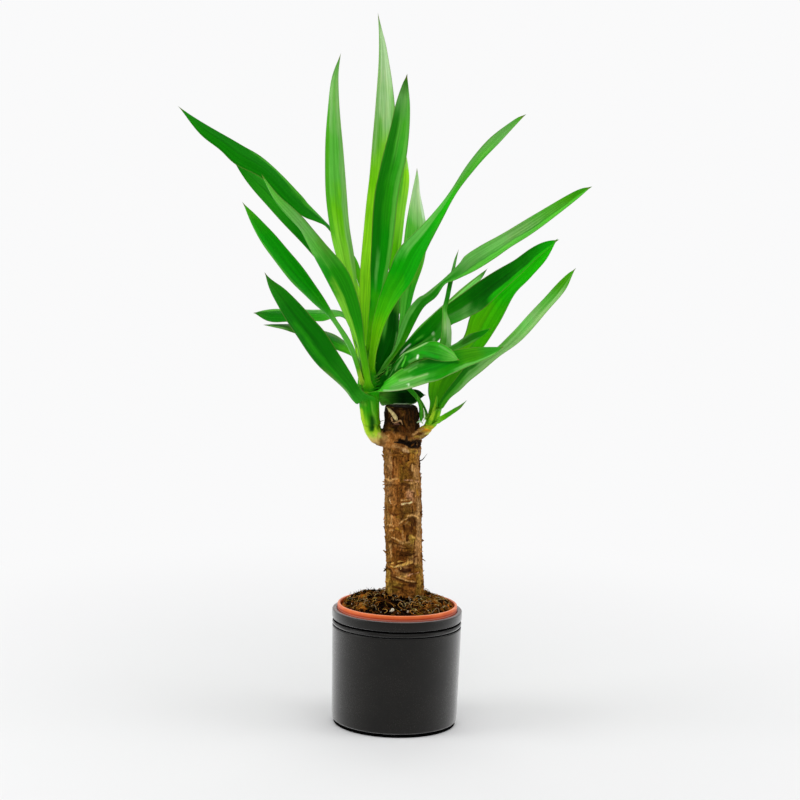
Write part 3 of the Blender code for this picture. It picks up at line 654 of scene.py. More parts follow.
def at_height(line, values, z):
    """Centre and value of a line of points at height z."""
    i = 0
    while i < len(line) - 2 and line[i + 1].z < z:
        i += 1
    f = min(max((z - line[i].z) / (line[i + 1].z - line[i].z), 0.0), 1.0)
    return line[i].lerp(line[i + 1], f), values[i] * (1 - f) + values[i + 1] * f


def bark_finish():
    """Rough, scaly bark: the tint, broken by fine cracks and fibres."""
    f = Finish("cane_bark")
    tint, place = f.attribute("tint"), f.place()
    fibre = f.noise(f.scaled(place, (900, 900, 130)), 1.0, 4.0, 0.65, 0.4)
    scale = f.noise(f.scaled(place, (190, 190, 330)), 1.0, 5.0, 0.7, 0.8)
    grain = f.noise(place, 1500.0, 3.0, 0.7)
    c = f.mix(f.fit(fibre, 0.56, 0.34, 0.0, 0.60), tint, f.mix(1.0, tint, (0.34, 0.25, 0.14), "MULTIPLY"))
    c = f.mix(f.fit(scale, 0.52, 0.70, 0.0, 0.50), c, f.mix(1.0, tint, (1.65, 1.62, 1.7), "MULTIPLY"))
    c = f.mix(f.fit(grain, 0.56, 0.38, 0.0, 0.45), c, f.mix(1.0, c, (0.5, 0.44, 0.36), "MULTIPLY"))
    f.set(Base_Color=c)
    f.set(Roughness=f.fit(scale, 0.3, 0.7, 0.95, 0.78))
    f.shader.inputs["Specular IOR Level"].default_value = 0.06
    h = f.sum("ADD", f.sum("MULTIPLY", scale, 1.6), f.sum("ADD", fibre, f.sum("MULTIPLY", grain, 0.4)))
    f.set(Normal=f.bump(h, 0.85, 0.0011))
    return f.mat


BARK = bark_finish()
BARK_GAIN = np.array([1.52, 1.50, 1.36])
# Bark colours by name
EARTH = {k: linear(c) * BARK_GAIN for k, c in {
    "umber": (112, 70, 24), "sienna": (142, 92, 42), "clay": (160, 108, 56), "tan": (172, 130, 82),
    "sand": (198, 154, 98), "cream": (226, 188, 142), "rose": (184, 136, 102), "gold": (164, 118, 42),
    "mustard": (158, 128, 54), "straw": (206, 162, 84), "moss": (108, 80, 22), "olive": (122, 92, 44),
    "ash": (150, 116, 76), "dark": (60, 30, 6), "pitch": (20, 9, 2), "rust": (92, 46, 12),
    "wood": (78, 46, 16), "black_and_shade": (13, 7, 4), "plum": (58, 26, 14), "bone": (206, 200, 172)}.items()}
# the near-black colour also serves as painted shade: in the collar's hollows, under the right shoot and where the left
# shoot meets the cane
TAN, BROWN, DARK = EARTH["tan"], EARTH["umber"], EARTH["dark"]
OCHRE, PALE, BLACK = EARTH["gold"], EARTH["cream"], EARTH["black_and_shade"]
GREY = EARTH["ash"]

# What shows on the front of the bark, from the crown down. Each mark is a line
# on the elevation, its half width, its colour and its strength; a raised mark
# has a positive height in mm, a crack a negative one.
MARKS = [
    # long soft areas first; the first seven, paler columns down both edges of the front, are painted light from the
    # side lamps
    ([(388, 450), (388, 500)], 4.0, "ash", 0.75, 0), ([(388, 500), (388, 566)], 3.4, "olive", 0.75, 0),
    ([(387, 572), (388.5, 592)], 3.6, "mustard", 0.75, 0), ([(417, 446), (417, 500)], 3.6, "tan", 0.80, 0),
    ([(418.5, 500), (418.5, 540)], 2.6, "ash", 0.80, 0), ([(418, 540), (418.5, 566)], 3.2, "tan", 0.85, 0),
    ([(418.5, 566), (419, 594)], 3.2, "mustard", 0.70, 0),
    ([(391, 458), (391, 466)], 4.2, "tan", 0.60, 0), ([(396, 462), (396, 480)], 3.4, "sienna", 0.70, 0),
    ([(404, 466), (404, 479)], 5.2, "moss", 0.80, 0), ([(413, 451), (414, 462)], 4.0, "gold", 0.75, 0),
    ([(399, 456), (399, 462)], 4.6, "umber", 0.50, 0), ([(393, 491), (394, 503)], 4.6, "clay", 0.85, 0.1),
    ([(410, 494), (412, 499)], 4.2, "rose", 0.60, 0.1), ([(407, 508), (407, 511)], 5.6, "olive", 0.55, 0),
    ([(393, 520), (398, 528)], 4.4, "clay", 0.80, 0), ([(391, 530), (396, 536)], 4.4, "sienna", 0.80, 0),
    ([(409, 545), (409, 551)], 6.0, "moss", 0.60, 0), ([(398, 552), (402, 558)], 6.0, "rust", 0.55, 0),
    ([(395, 570), (397, 574)], 4.4, "sienna", 0.50, 0), ([(395, 585), (396, 590)], 2.6, "moss", 0.75, 0),
    ([(391, 583), (400, 586)], 4.0, "mustard", 0.50, 0), ([(405, 590), (412, 594)], 6.0, "umber", 0.45, 0),
    # the crown end of the body
    ([(403.5, 449.5), (407.5, 451)], 2.2, "cream", 0.75, 0.3), ([(410, 450), (416, 452)], 2.4, "mustard", 0.75, 0.2),
    ([(387, 447.5), (389.5, 450)], 1.5, "dark", 0.85, -0.4), ([(391, 449), (392.5, 451.5)], 1.3, "moss", 0.80, -0.3),
    ([(393, 454), (393.2, 466), (392.6, 478)], 0.75, "rust", 0.95, -0.4),
    ([(396.4, 452), (396.8, 462)], 0.6, "dark", 0.55, -0.3), ([(401, 453), (404.5, 455.5)], 1.0, "gold", 0.70, 0.1),
    ([(408, 453.5), (408.4, 461)], 0.75, "dark", 0.95, -0.5), ([(408.4, 460.5), (412, 463.2), (416.5, 465)], 0.8, "dark", 0.75, -0.4),
    ([(404, 455), (404.4, 470)], 0.8, "sienna", 0.5, 0), ([(412, 465), (412.6, 470.5)], 1.2, "sand", 0.80, 0.2),
    ([(400, 460.5), (402.5, 464.5)], 1.0, "rust", 0.70, -0.2), ([(417.4, 447), (417.8, 451)], 0.6, "dark", 0.7, -0.2),
    ([(419, 462), (420.3, 468)], 0.7, "wood", 0.85, -0.2), ([(386.5, 479), (390, 480.5)], 1.5, "sand", 0.70, 0.2),
    ([(389, 469), (393, 473)], 0.9, "rust", 0.55, -0.2), ([(392, 479.5), (398, 478.6)], 0.8, "sand", 0.55, 0.1),
    ([(404.5, 480.2), (411, 480.2), (418, 481.6)], 0.9, "rose", 0.70, 0.2), ([(410, 483), (416, 482.4)], 1.2, "sand", 0.65, 0.2),
    ([(403.5, 484), (409, 486), (406, 489)], 2.0, "wood", 0.95, -0.6), ([(399.5, 484), (403, 484.6)], 0.9, "dark", 0.60, -0.3),
    ([(384.5, 485.6), (391, 484.6), (398, 486)], 0.9, "wood", 0.75, -0.4), ([(412, 492.4), (414.6, 493.2)], 0.8, "dark", 0.85, -0.3),
    ([(416.6, 490), (417.6, 495)], 1.1, "gold", 0.85, 0.1), ([(397.4, 485), (397.8, 505)], 0.65, "rust", 0.85, -0.4),
    ([(399.4, 492), (399.6, 500)], 0.6, "wood", 0.6, -0.3), ([(394.6, 486), (395.2, 499)], 0.5, "rust", 0.55, -0.3),
    ([(400.6, 491), (402.6, 496.5)], 1.7, "wood", 0.80, -0.4), ([(389.6, 500.5), (391, 503)], 0.9, "cream", 0.70, 0.2),
    ([(419.6, 488), (419.8, 500)], 0.7, "wood", 0.70, -0.3),
    ([(401.5, 500.3), (409.5, 500.0)], 0.8, "sand", 0.75, 0.2), ([(401.5, 504.4), (405, 503.4), (411.5, 502.2)], 1.05, "cream", 0.95, 0.5),
    # the middle of the body
    ([(388.6, 509), (390.6, 513), (393, 515.6), (398, 514.6)], 1.0, "rust", 0.85, -0.4),
    ([(399.6, 513.4), (406, 513.8), (413, 512.6)], 0.8, "wood", 0.85, -0.4), ([(412.6, 506), (412.8, 514)], 0.6, "dark", 0.80, -0.3),
    ([(386.2, 506), (386.6, 530), (386.4, 556)], 0.7, "wood", 0.60, -0.2), ([(391.4, 516), (391, 524)], 1.2, "sand", 0.50, 0.1),
    ([(407.5, 516.2), (412, 515.3), (415.6, 516.4), (418.2, 518.4)], 0.9, "sand", 0.90, 0.4),
    ([(415.8, 516.6), (419.4, 513.2)], 0.7, "sand", 0.75, 0.3), ([(399.6, 523.4), (403.6, 520.2), (409, 517.8)], 0.9, "sand", 0.75, 0.3),
    ([(409, 520), (413, 519.5), (415, 524)], 3.0, "wood", 0.95, -0.5), ([(405, 527), (410, 529), (413, 532)], 3.3, "wood", 0.95, -0.5),
    ([(408, 534), (407.6, 540)], 1.5, "wood", 0.95, -0.4), ([(403.6, 526), (405, 531)], 1.3, "dark", 0.85, -0.4),
    ([(414.6, 519), (415.6, 525)], 0.9, "dark", 0.85, -0.4), ([(411.4, 524), (412.6, 529)], 1.0, "plum", 0.75, -0.3),
    ([(406.6, 536), (407, 541)], 0.8, "dark", 0.90, -0.3), ([(409.6, 527), (411.6, 532)], 0.8, "plum", 0.65, -0.3),
    ([(406.6, 523.6), (410.4, 525)], 0.7, "olive", 0.70, 0.1), ([(404.6, 524.4), (408, 521.6)], 0.8, "tan", 0.55, 0.2),
    ([(411, 536.5), (414, 539), (412, 541.5)], 2.3, "mustard", 0.90, 0.2), ([(411.6, 536.6), (414, 537.4)], 0.9, "straw", 0.70, 0.2),
    ([(411.8, 539.6), (412, 544.5)], 0.5, "dark", 0.75, -0.2), ([(414.2, 539), (414.4, 545)], 0.5, "wood", 0.75, -0.2),
    ([(387, 524.8), (390, 524.6), (393, 526)], 0.8, "sand", 0.60, 0.2), ([(388, 527.6), (398, 527)], 0.6, "wood", 0.60, -0.2),
    ([(396.6, 528.6), (401, 531.6)], 1.5, "gold", 0.80, 0.1), ([(399.4, 531.4), (400.4, 535)], 1.0, "rust", 0.75, -0.3),
    ([(389.6, 530.2), (393.4, 530.4)], 0.9, "sand", 0.60, 0.1), ([(402.4, 531), (402.8, 538)], 0.8, "tan", 0.60, 0.1),
    ([(392, 537.4), (397, 539.4), (402.8, 543.2)], 0.9, "sand", 0.80, 0.4), ([(387.4, 541.6), (394, 543), (399.6, 544.8), (406, 546.4)], 0.95, "wood", 0.90, -0.5),
    ([(389, 536.6), (395, 540.4)], 0.6, "rust", 0.60, -0.2), ([(406, 542.6), (409.6, 542.2)], 0.8, "tan", 0.60, 0.2),
    ([(400, 547.8), (405, 548.8), (411, 548.2)], 0.7, "dark", 0.80, -0.4), ([(398, 551.4), (402.6, 553)], 0.8, "dark", 0.65, -0.4),
    ([(400.4, 555.2), (405, 556), (410, 554.6), (415, 553.8)], 1.0, "dark", 0.90, -0.5), ([(397.6, 549.4), (406, 551)], 0.6, "sienna", 0.60, 0.2),
    ([(404, 544.6), (404.4, 551)], 0.5, "wood", 0.55, -0.2), ([(407.4, 544.6), (407.6, 552)], 0.5, "wood", 0.55, -0.2),
    ([(390.2, 545.6), (390.8, 557)], 1.1, "tan", 0.80, 0.2), ([(393.2, 547), (393.6, 556)], 0.7, "rust", 0.60, -0.3),
    ([(415.6, 556.8), (418, 556.6)], 0.9, "rust", 0.85, -0.4), ([(406, 558), (412, 559.4), (416, 558)], 0.8, "wood", 0.70, -0.3),
    # the foot of the body
    ([(384.6, 562.2), (390.4, 562.8)], 0.7, "wood", 0.75, -0.3),
    ([(391.4, 563.4), (396, 562.2), (400.4, 561.2), (407, 561)], 0.75, "straw", 0.80, 0.3),
    ([(391.2, 567.0), (396, 566.4), (402, 565.2), (407.4, 563.4), (411.4, 562.2)], 1.25, "straw", 0.95, 0.6),
    ([(395, 564.4), (402, 563.2)], 0.6, "wood", 0.65, -0.3), ([(395.6, 566.8), (401, 565.6)], 0.6, "cream", 0.50, 0.3),
    ([(408.4, 566.4), (414, 564.4)], 1.1, "wood", 0.80, -0.4), ([(386, 567.6), (390, 570), (392, 573)], 1.1, "dark", 0.90, -0.4),
    ([(401, 569.4), (405, 571), (409.6, 570)], 2.5, "plum", 0.90, -0.5), ([(401.6, 570.6), (403, 571.6)], 1.2, "dark", 0.85, -0.3),
    ([(407.4, 569.6), (409, 570.4)], 1.1, "dark", 0.75, -0.3), ([(395.6, 570.4), (398, 571.4)], 1.1, "tan", 0.60, 0.1),
    ([(408, 575.6), (412, 574), (418.6, 572.4)], 0.85, "rose", 0.85, 0.4), ([(391, 573.6), (397, 576.8)], 0.9, "rust", 0.75, -0.3),
    ([(390.6, 576), (398, 579.4), (404, 581.6), (410, 583), (416.6, 583.6)], 1.2, "wood", 0.95, -0.6),
    ([(396.4, 576.8), (402, 578.8), (408, 581), (414.6, 581.8)], 0.8, "sand", 0.90, 0.4), ([(400.4, 576.2), (406, 576.2)], 0.7, "straw", 0.65, 0.3),
    ([(385.6, 577), (387.6, 582)], 1.3, "straw", 0.50, 0.1), ([(409.6, 585.4), (414.6, 586)], 1.8, "plum", 0.85, -0.4),
    ([(401, 587), (403.6, 592)], 1.0, "rust", 0.55, -0.3), ([(386.6, 588), (387.6, 594)], 0.9, "wood", 0.50, -0.2),
    ([(416, 575), (416.6, 590)], 0.5, "wood", 0.55, -0.2), ([(396, 595.6), (398.6, 597)], 0.9, "sand", 0.70, 0.2),
    ([(417.4, 592), (418.6, 597)], 1.6, "moss", 0.75, 0), ([(411, 590.6), (412.6, 592.6)], 0.9, "dark", 0.60, -0.3),
    ([(405, 593.6), (407.4, 596.4)], 1.0, "dark", 0.60, -0.3), ([(389.6, 585), (390.4, 592)], 0.6, "wood", 0.5, -0.2),
]

# The collar and the blackened top, drawn over everything else
TOP_MARKS = [
    ([(381, 437), (386, 441), (391, 443.5)], 4.6, "clay", 0.85, 0.3), ([(380, 434.6), (388, 436)], 1.7, "sand", 0.55, 0.3),
    ([(391, 434), (394, 447)], 2.8, "sienna", 0.60, 0.1), ([(383.4, 441), (389, 440)], 1.6, "tan", 0.65, 0.3),
    ([(386.6, 433.6), (392, 431.4)], 1.2, "umber", 0.60, 0), ([(397.4, 433), (398.4, 439)], 1.3, "umber", 0.60, 0),
    ([(393, 446), (400, 447.6)], 1.6, "tan", 0.65, 0.2), ([(398, 441.6), (402.4, 444)], 1.3, "sienna", 0.75, 0.2),
    ([(402, 434), (410, 436), (414, 434)], 2.6, "wood", 0.70, 0), ([(400, 435.4), (404, 437.4)], 1.1, "clay", 0.65, 0.2),
    ([(399.4, 429), (413, 431)], 2.6, "wood", 0.75, 0), ([(404.5, 421), (407, 427)], 1.2, "umber", 0.65, 0),
    ([(402, 426), (405.6, 432)], 0.8, "rust", 0.60, -0.2), ([(404.6, 411), (404.8, 421)], 0.9, "wood", 0.70, 0.1),
    ([(409.6, 412), (410.4, 420)], 0.9, "wood", 0.60, 0.1), ([(413.4, 411), (414, 428)], 0.8, "wood", 0.60, 0.1),
    ([(411, 424), (413.6, 430)], 1.2, "wood", 0.60, 0.1), ([(407, 416), (407.6, 426)], 0.8, "wood", 0.55, 0),
    ([(391, 426), (396, 425.4)], 1.1, "wood", 0.70, 0.1), ([(389.6, 428), (393, 429.6)], 1.1, "moss", 0.55, 0.1),
    ([(388, 431), (392, 435)], 0.9, "wood", 0.5, 0), ([(384, 430.6), (390, 430)], 1.2, "pitch", 0.60, 0),
    # the first, black line of this row is painted shade where the left shoot meets the cane
    ([(379, 432.4), (385, 431)], 1.4, "black_and_shade", 0.90, -0.2), ([(412.6, 434.4), (416.6, 432), (420, 430)], 1.2, "tan", 0.90, 1.0),
    ([(415, 436.6), (421, 436.8)], 1.4, "mustard", 0.85, 0.8), ([(417.6, 433.8), (421.6, 433.6)], 1.4, "dark", 0.92, 0.3),
    ([(386, 408.4), (416, 408.0)], 2.4, "pitch", 0.72, 0),
    ([(385.4, 408), (385.6, 429)], 2.6, "pitch", 0.62, 0), ([(416.2, 408), (415.4, 419)], 2.6, "pitch", 0.66, 0),
    ([(412, 409), (411.4, 416)], 2.0, "pitch", 0.55, 0), ([(391, 427), (399, 423)], 1.8, "pitch", 0.40, 0),
    # the black wedge under the right shoot: painted shade in the crevice below the shoot
    ([(399.6, 440.4), (404, 441.8), (410, 443.0)], 2.3, "black_and_shade", 0.98, -0.6), ([(409, 444.4), (419, 444.6)], 2.9, "black_and_shade", 0.99, -0.7),
    ([(410.4, 446.6), (418.6, 446.8)], 2.1, "black_and_shade", 0.97, -0.4), ([(402.6, 443.0), (406, 444.2), (410, 445.4)], 1.7, "black_and_shade", 0.97, -0.5),
    ([(412, 446), (414.6, 443.6)], 0.8, "umber", 0.55, 0.1), ([(417.4, 446.4), (419, 443)], 0.8, "dark", 0.60, 0.1),
    ([(413, 441.6), (420, 441.4), (423.6, 438.4)], 2.6, "black_and_shade", 0.93, -0.5), ([(410.6, 439.4), (412.6, 439.8)], 0.8, "olive", 0.80, 0.2),
    ([(414, 440), (417, 438.8)], 0.8, "ash", 0.45, 0.2), ([(403.6, 443.4), (404.6, 447)], 0.8, "dark", 0.5, -0.2),
]


def stroke(u, v, points):
    """The distance in the drawing from each place (u, v) to a line of points."""
    best = np.full(len(u), 1e9)
    for (x0, y0), (x1, y1) in zip(points, points[1:]):
        dx, dy = x1 - x0, y1 - y0
        t = np.clip(((u - x0) * dx + (v - y0) * dy) / (dx * dx + dy * dy), 0.0, 1.0)
        best = np.minimum(best, np.hypot(u - x0 - t * dx, v - y0 - t * dy))
    return best


def layer(base, colour, share):
    """base rows mixed towards a colour by a share per row."""
    share = np.clip(np.broadcast_to(share, (len(base),)), 0, 1)[:, None]
    return base * (1 - share) + colour * share


def bark_marks(c, push, u, v, wobble, marks, where):
    for line, half, colour, strength, height in marks:
        reach = half * 2.2 + 1.0
        us, vs = [p[0] for p in line], [p[1] for p in line]
        near = np.nonzero((u > min(us) - reach) & (u < max(us) + reach) & (v > min(vs) - reach)
                          & (v < max(vs) + reach) & (where > 0))[0]
        if not len(near):
            continue
        d = stroke(u[near], v[near], line) / (half * (1.0 + 0.45 * wobble[near]))
        share = (1 - smooth(d, 0.45, 1.25)) * strength * where[near]
        if half > 3:
            share = share * (0.72 + 0.75 * wobble[near])
        c[near] = layer(c[near], EARTH[colour], share)
        push[near] += share * height * 0.001


def cane():
    sides = 240
    low, top = CANE_LINE[0].z, CANE_LINE[-1].z - 0.0014
    heights = [low + (0.124 - low) * k / 10 for k in range(10)]
    n = 360
    heights += [0.124 + (top - 0.124) * k / n for k in range(n + 1)]
    around = np.array([2 * math.pi * k / sides for k in range(sides)])
    centres, radii = zip(*(at_height(CANE_LINE, CANE_RADII, z) for z in heights))
    # ring scars left by fallen leaves: height, depth of the step, how far it dips
    rng = random.Random(11)
    scars, z = [], 0.126
    while z < 0.330:
        scars.append((z, rng.uniform(0.4, 1.0), rng.uniform(0, 6.28), rng.uniform(0.0006, 0.0026), rng.uniform(0, 6.28)))
        z += rng.uniform(0.0045, 0.0105)
    unit = np.stack([np.cos(around), np.sin(around)], 1)
    pts = []
    for c, r, z in zip(centres, radii, heights):
        pts.append(np.stack([c.x + unit[:, 0] * r, c.y + unit[:, 1] * r, np.full(sides, z)], 1))
    pts = np.array(pts)                                # heights x sides x 3
    flat = pts.reshape(-1, 3)
    Z = flat[:, 2]
    A = np.tile(around, len(heights))
    broad = rough(flat, 26.0, 2, 1.0)
    bumps = rough(flat * np.array([1, 1, 1.7]), 105.0, 4, 2.0)
    crust = rough(flat * np.array([1, 1, 0.42]), 300.0, 3, 3.0)
    seams = rough(flat * np.array([1, 1, 0.16]), 230.0, 3, 4.0)
    push = broad * 0.00085 + bumps * 0.0010 + crust * 0.00042
    push -= smooth(-np.abs(seams), -0.10, 0.0) * 0.0008
    # the front of the body carries its own marks, the rest the ring scars
    u, v = drawn(flat)
    blotch = rough(flat * np.array([1, 1, 0.8]), 75.0, 4, 9.0)
    streak = rough(flat * np.array([1, 1, 0.30]), 160.0, 3, 12.0)
    warm = rough(flat, 50.0, 3, 15.0)
    fleck = rough(flat * np.array([1, 1, 0.7]), 420.0, 2, 17.0)
    speck = rough(flat * np.array([1, 1, 0.55]), 820.0, 2, 19.0)
    push += fleck * 0.00012 + speck * 0.00008
    facing = np.tile(smooth(-unit[:, 1], -0.05, 0.22), len(heights))
    scar_tone_and_shade = np.zeros(len(flat))
    for z0, deep, phase, dip, turn in scars:
        line = z0 + dip * np.sin(A + phase) + 0.0005 * np.sin(3 * A + turn)
        reach = 0.45 + 0.55 * np.sin(A * 1.0 + turn) * 0.8
        d = (Z - line)
        lip = np.exp(-(d / 0.0007) ** 2) * deep * np.clip(reach, 0.15, 1)
        # the step just under each lip is pushed in and painted darker: painted shade under the lip
        under = np.exp(-((d + 0.0013) / 0.0008) ** 2) * deep * np.clip(reach, 0.15, 1)
        ease = 1 - 0.75 * facing
        push += (lip * 0.00075 - under * 0.0007) * ease
        scar_tone_and_shade += (lip * 0.8 - under * 1.1) * ease
    collar = smooth(Z, sight(401, 452, 0).z, sight(401, 444, 0).z) * smooth(Z, sight(401, 424, 0).z, sight(401, 434, 0).z)
    warts = rough(flat, 180.0, 4, 6.0)
    push += collar * (warts * 0.0016 + bumps * 0.0006)
    near_top = smooth(Z, sight(401, 436, 0).z, sight(401, 429, 0).z)
    push += near_top * (crust * 0.0004 + 0.0005 * seams)
    push[Z < 0.124] *= 0.3

    c = np.tile(EARTH["umber"], (len(flat), 1))
    c = layer(c, EARTH["sienna"], smooth(blotch, -0.15, 0.35) * 0.85)
    c = layer(c, EARTH["tan"], smooth(blotch + 0.5 * warm, 0.20, 0.65) * 0.70)
    c = layer(c, EARTH["moss"], smooth(warm, 0.05, 0.5) * 0.55)
    c = layer(c, EARTH["wood"], smooth(-streak, 0.10, 0.50) * 0.75)
    # the ring scars: paler at each lip, with painted shade in the step under it
    c = layer(c, EARTH["dark"], np.clip(-scar_tone_and_shade, 0, 1) * 0.70)
    c = layer(c, EARTH["sand"], np.clip(scar_tone_and_shade, 0, 1) * 0.55)
    # the rest of the bark has marks of the same kinds, scattered
    arc, down = A * 19.0, (top - Z) / 0.0011
    chance = random.Random(23)
    kinds = [("sand", 0.9, 0.3, 0), ("wood", 1.0, -0.4, 0), ("rust", 0.8, -0.3, 1), ("gold", 2.2, 0.1, 0),
             ("wood", 2.2, -0.5, 0), ("clay", 3.4, 0.1, 1), ("moss", 3.0, 0.0, 1), ("dark", 0.8, -0.4, 0),
             ("straw", 0.8, 0.4, 0), ("ash", 3.4, 0.0, 1), ("plum", 1.8, -0.4, 0), ("rose", 0.9, 0.3, 0)]
    scattered = []
    for _ in range(270):
        colour, half, height, upright = kinds[chance.randrange(len(kinds))]
        a, h = chance.uniform(-2, 121.4), chance.uniform(20, 172)
        long = chance.uniform(3, 9)
        turn = math.radians(chance.uniform(60, 120) if upright else chance.uniform(-32, 32))
        line = [(a, h), (a + long * math.cos(turn) * 0.5, h + long * math.sin(turn) * 0.5 + chance.uniform(-1, 1)),
                (a + long * math.cos(turn), h + long * math.sin(turn))]
        scattered.append((line, half * chance.uniform(0.7, 1.3), colour, chance.uniform(0.6, 0.95), height))
    bark_marks(c, push, arc, down, blotch, scattered, 1 - facing)
    # the front
    bark_marks(c, push, u, v, 0.7 * blotch + 0.5 * fleck, MARKS, facing)
    c = c * np.clip(1 + 0.50 * fleck + 0.55 * speck, 0.25, 2.0)[:, None]
    # the collar, with tan on the tops of its warts as painted highlight and black in the hollows between them as
    # painted shade, and the blackened top
    c = layer(c, EARTH["sienna"], collar * 0.75)
    c = layer(c, EARTH["tan"], collar * smooth(warts, 0.0, 0.6) * 0.7)
    c = layer(c, EARTH["black_and_shade"], smooth(warts + 0.25 * blotch, -0.1, -0.5) * collar * (1 - 0.6 * facing) * 0.8)
    c = layer(c, EARTH["pitch"], near_top * (0.94 - 0.25 * smooth(blotch, 0.1, 0.6)))
    c = layer(c, EARTH["wood"], near_top * smooth(blotch + streak, 0.30, 0.9) * 0.45)
    c = layer(c, EARTH["moss"], near_top * smooth(fleck + 0.5 * streak, 0.35, 0.9) * 0.30)
    bark_marks(c, push, u, v, 0.5 * warts + 0.5 * fleck, TOP_MARKS, facing)
    rim = smooth(Z, top - 0.004, top)
    lip = smooth(Z, top - 0.0009, top - 0.0002)
    c = layer(c, EARTH["olive"], lip * smooth(blotch + 0.4 * np.sin(A * 2 + 1.2), -0.3, 0.6) * 0.55)
    outward = np.tile(unit, (len(heights), 1))
    flat[:, 0] += outward[:, 0] * push
    flat[:, 1] += outward[:, 1] * push
    # the sawn top is ragged at its edge
    flat[:, 2] += rim * (0.0009 * rough(flat * np.array([1, 1, 0.0]), 90.0, 3, 8.0) - 0.0004)
    flat[:, 0] -= outward[:, 0] * rim ** 3 * 0.0007
    flat[:, 1] -= outward[:, 1] * rim ** 3 * 0.0007

    faces = []
    rows = len(heights)
    for r in range(rows - 1):
        a, b = r * sides, (r + 1) * sides
        for k in range(sides):
            m = (k + 1) % sides
            faces.append((a + k, a + m, b + m, b + k))
    pts = [flat]
    tints = [c]
    count = rows * sides
    # the cut face: a shallow dish of dark, cracked pith inside a pale back edge
    last = (rows - 1) * sides
    edge = flat[last:last + sides]
    mid = edge.mean(0)
    prev = last
    back = smooth(unit[:, 1], 0.45, 0.85)
    for j, (f, drop) in enumerate(((0.975, -0.0004), (0.94, -0.0002), (0.86, 0.0008), (0.74, 0.0010), (0.58, 0.0010), (0.40, 0.0011), (0.20, 0.0011))):
        ring = mid + (edge - mid) * f
        ring[:, 2] = mid[2] * 0.7 + edge[:, 2] * 0.3 - drop + 0.0005 * rough(ring, 160.0, 3, 20.0)
        tone = np.tile(EARTH["pitch"] if f > 0.9 else linear((30, 24, 14)), (sides, 1))
        tone = tone * (1 + 0.35 * rough(ring, 200.0, 3, 22.0))[:, None]
        if f > 0.9:
            tone = layer(tone, linear((232, 228, 204)), back * smooth(rough(ring, 120.0, 2, 24.0), -0.5, 0.1))
            ring[:, 2] += back * 0.0006
        pts.append(ring)
        tints.append(tone)
        for k in range(sides):
            m = (k + 1) % sides
            faces.append((prev + k, prev + m, count + m, count + k))
        prev = count
        count += sides
    pts.append(np.array([[mid[0], mid[1], mid[2] - 0.001]]))
    tints.append(np.array([linear((26, 20, 12))]))
    for k in range(sides):
        faces.append((prev + k, prev + (k + 1) % sides, count))
    count += 1
    pts.append(np.array([[centres[0].x, centres[0].y, low]]))
    tints.append(np.array([EARTH["dark"]]))
    for k in range(sides):
        faces.append(((k + 1) % sides, k, count))
    mesh = plain_mesh("cane_bark", np.vstack(pts), faces, tint=np.vstack(tints))
    piece("cane_bark", mesh, BARK, ("cane_trunk",))
    return flat.reshape(rows, sides, 3), c.reshape(rows, sides, 3), np.array(heights)


CANE_SKIN, CANE_TINT, CANE_ROWS = cane()


def bark_tint(p):
    """The bark's own colour beside a point."""
    row = min(int(np.searchsorted(CANE_ROWS, p.z)), len(CANE_ROWS) - 1)
    ring = CANE_SKIN[row]
    k = int(np.argmin((ring[:, 0] - p.x) ** 2 + (ring[:, 1] - p.y) ** 2))
    return CANE_TINT[row, k]


def on_cane(u, v, lift=0.0):
    """The point of the cane's front where the elevation shows (u, v)."""
    z = sight(u, v, -8).z
    for _ in range(4):
        c, r = at_height(CANE_LINE, CANE_RADII, z)
        x = sight(u, v, c.y * 1000 - r * 700).x
        dx = min(max(x - c.x, -r * 0.98), r * 0.98)
        y = c.y - math.sqrt(r * r - dx * dx)
        p = sight(u, v, y * 1000)
        z = p.z
    out = Vector((dx, y - c.y, 0)).normalized()
    return Vector((c.x + dx, y, z)) + out * lift, out


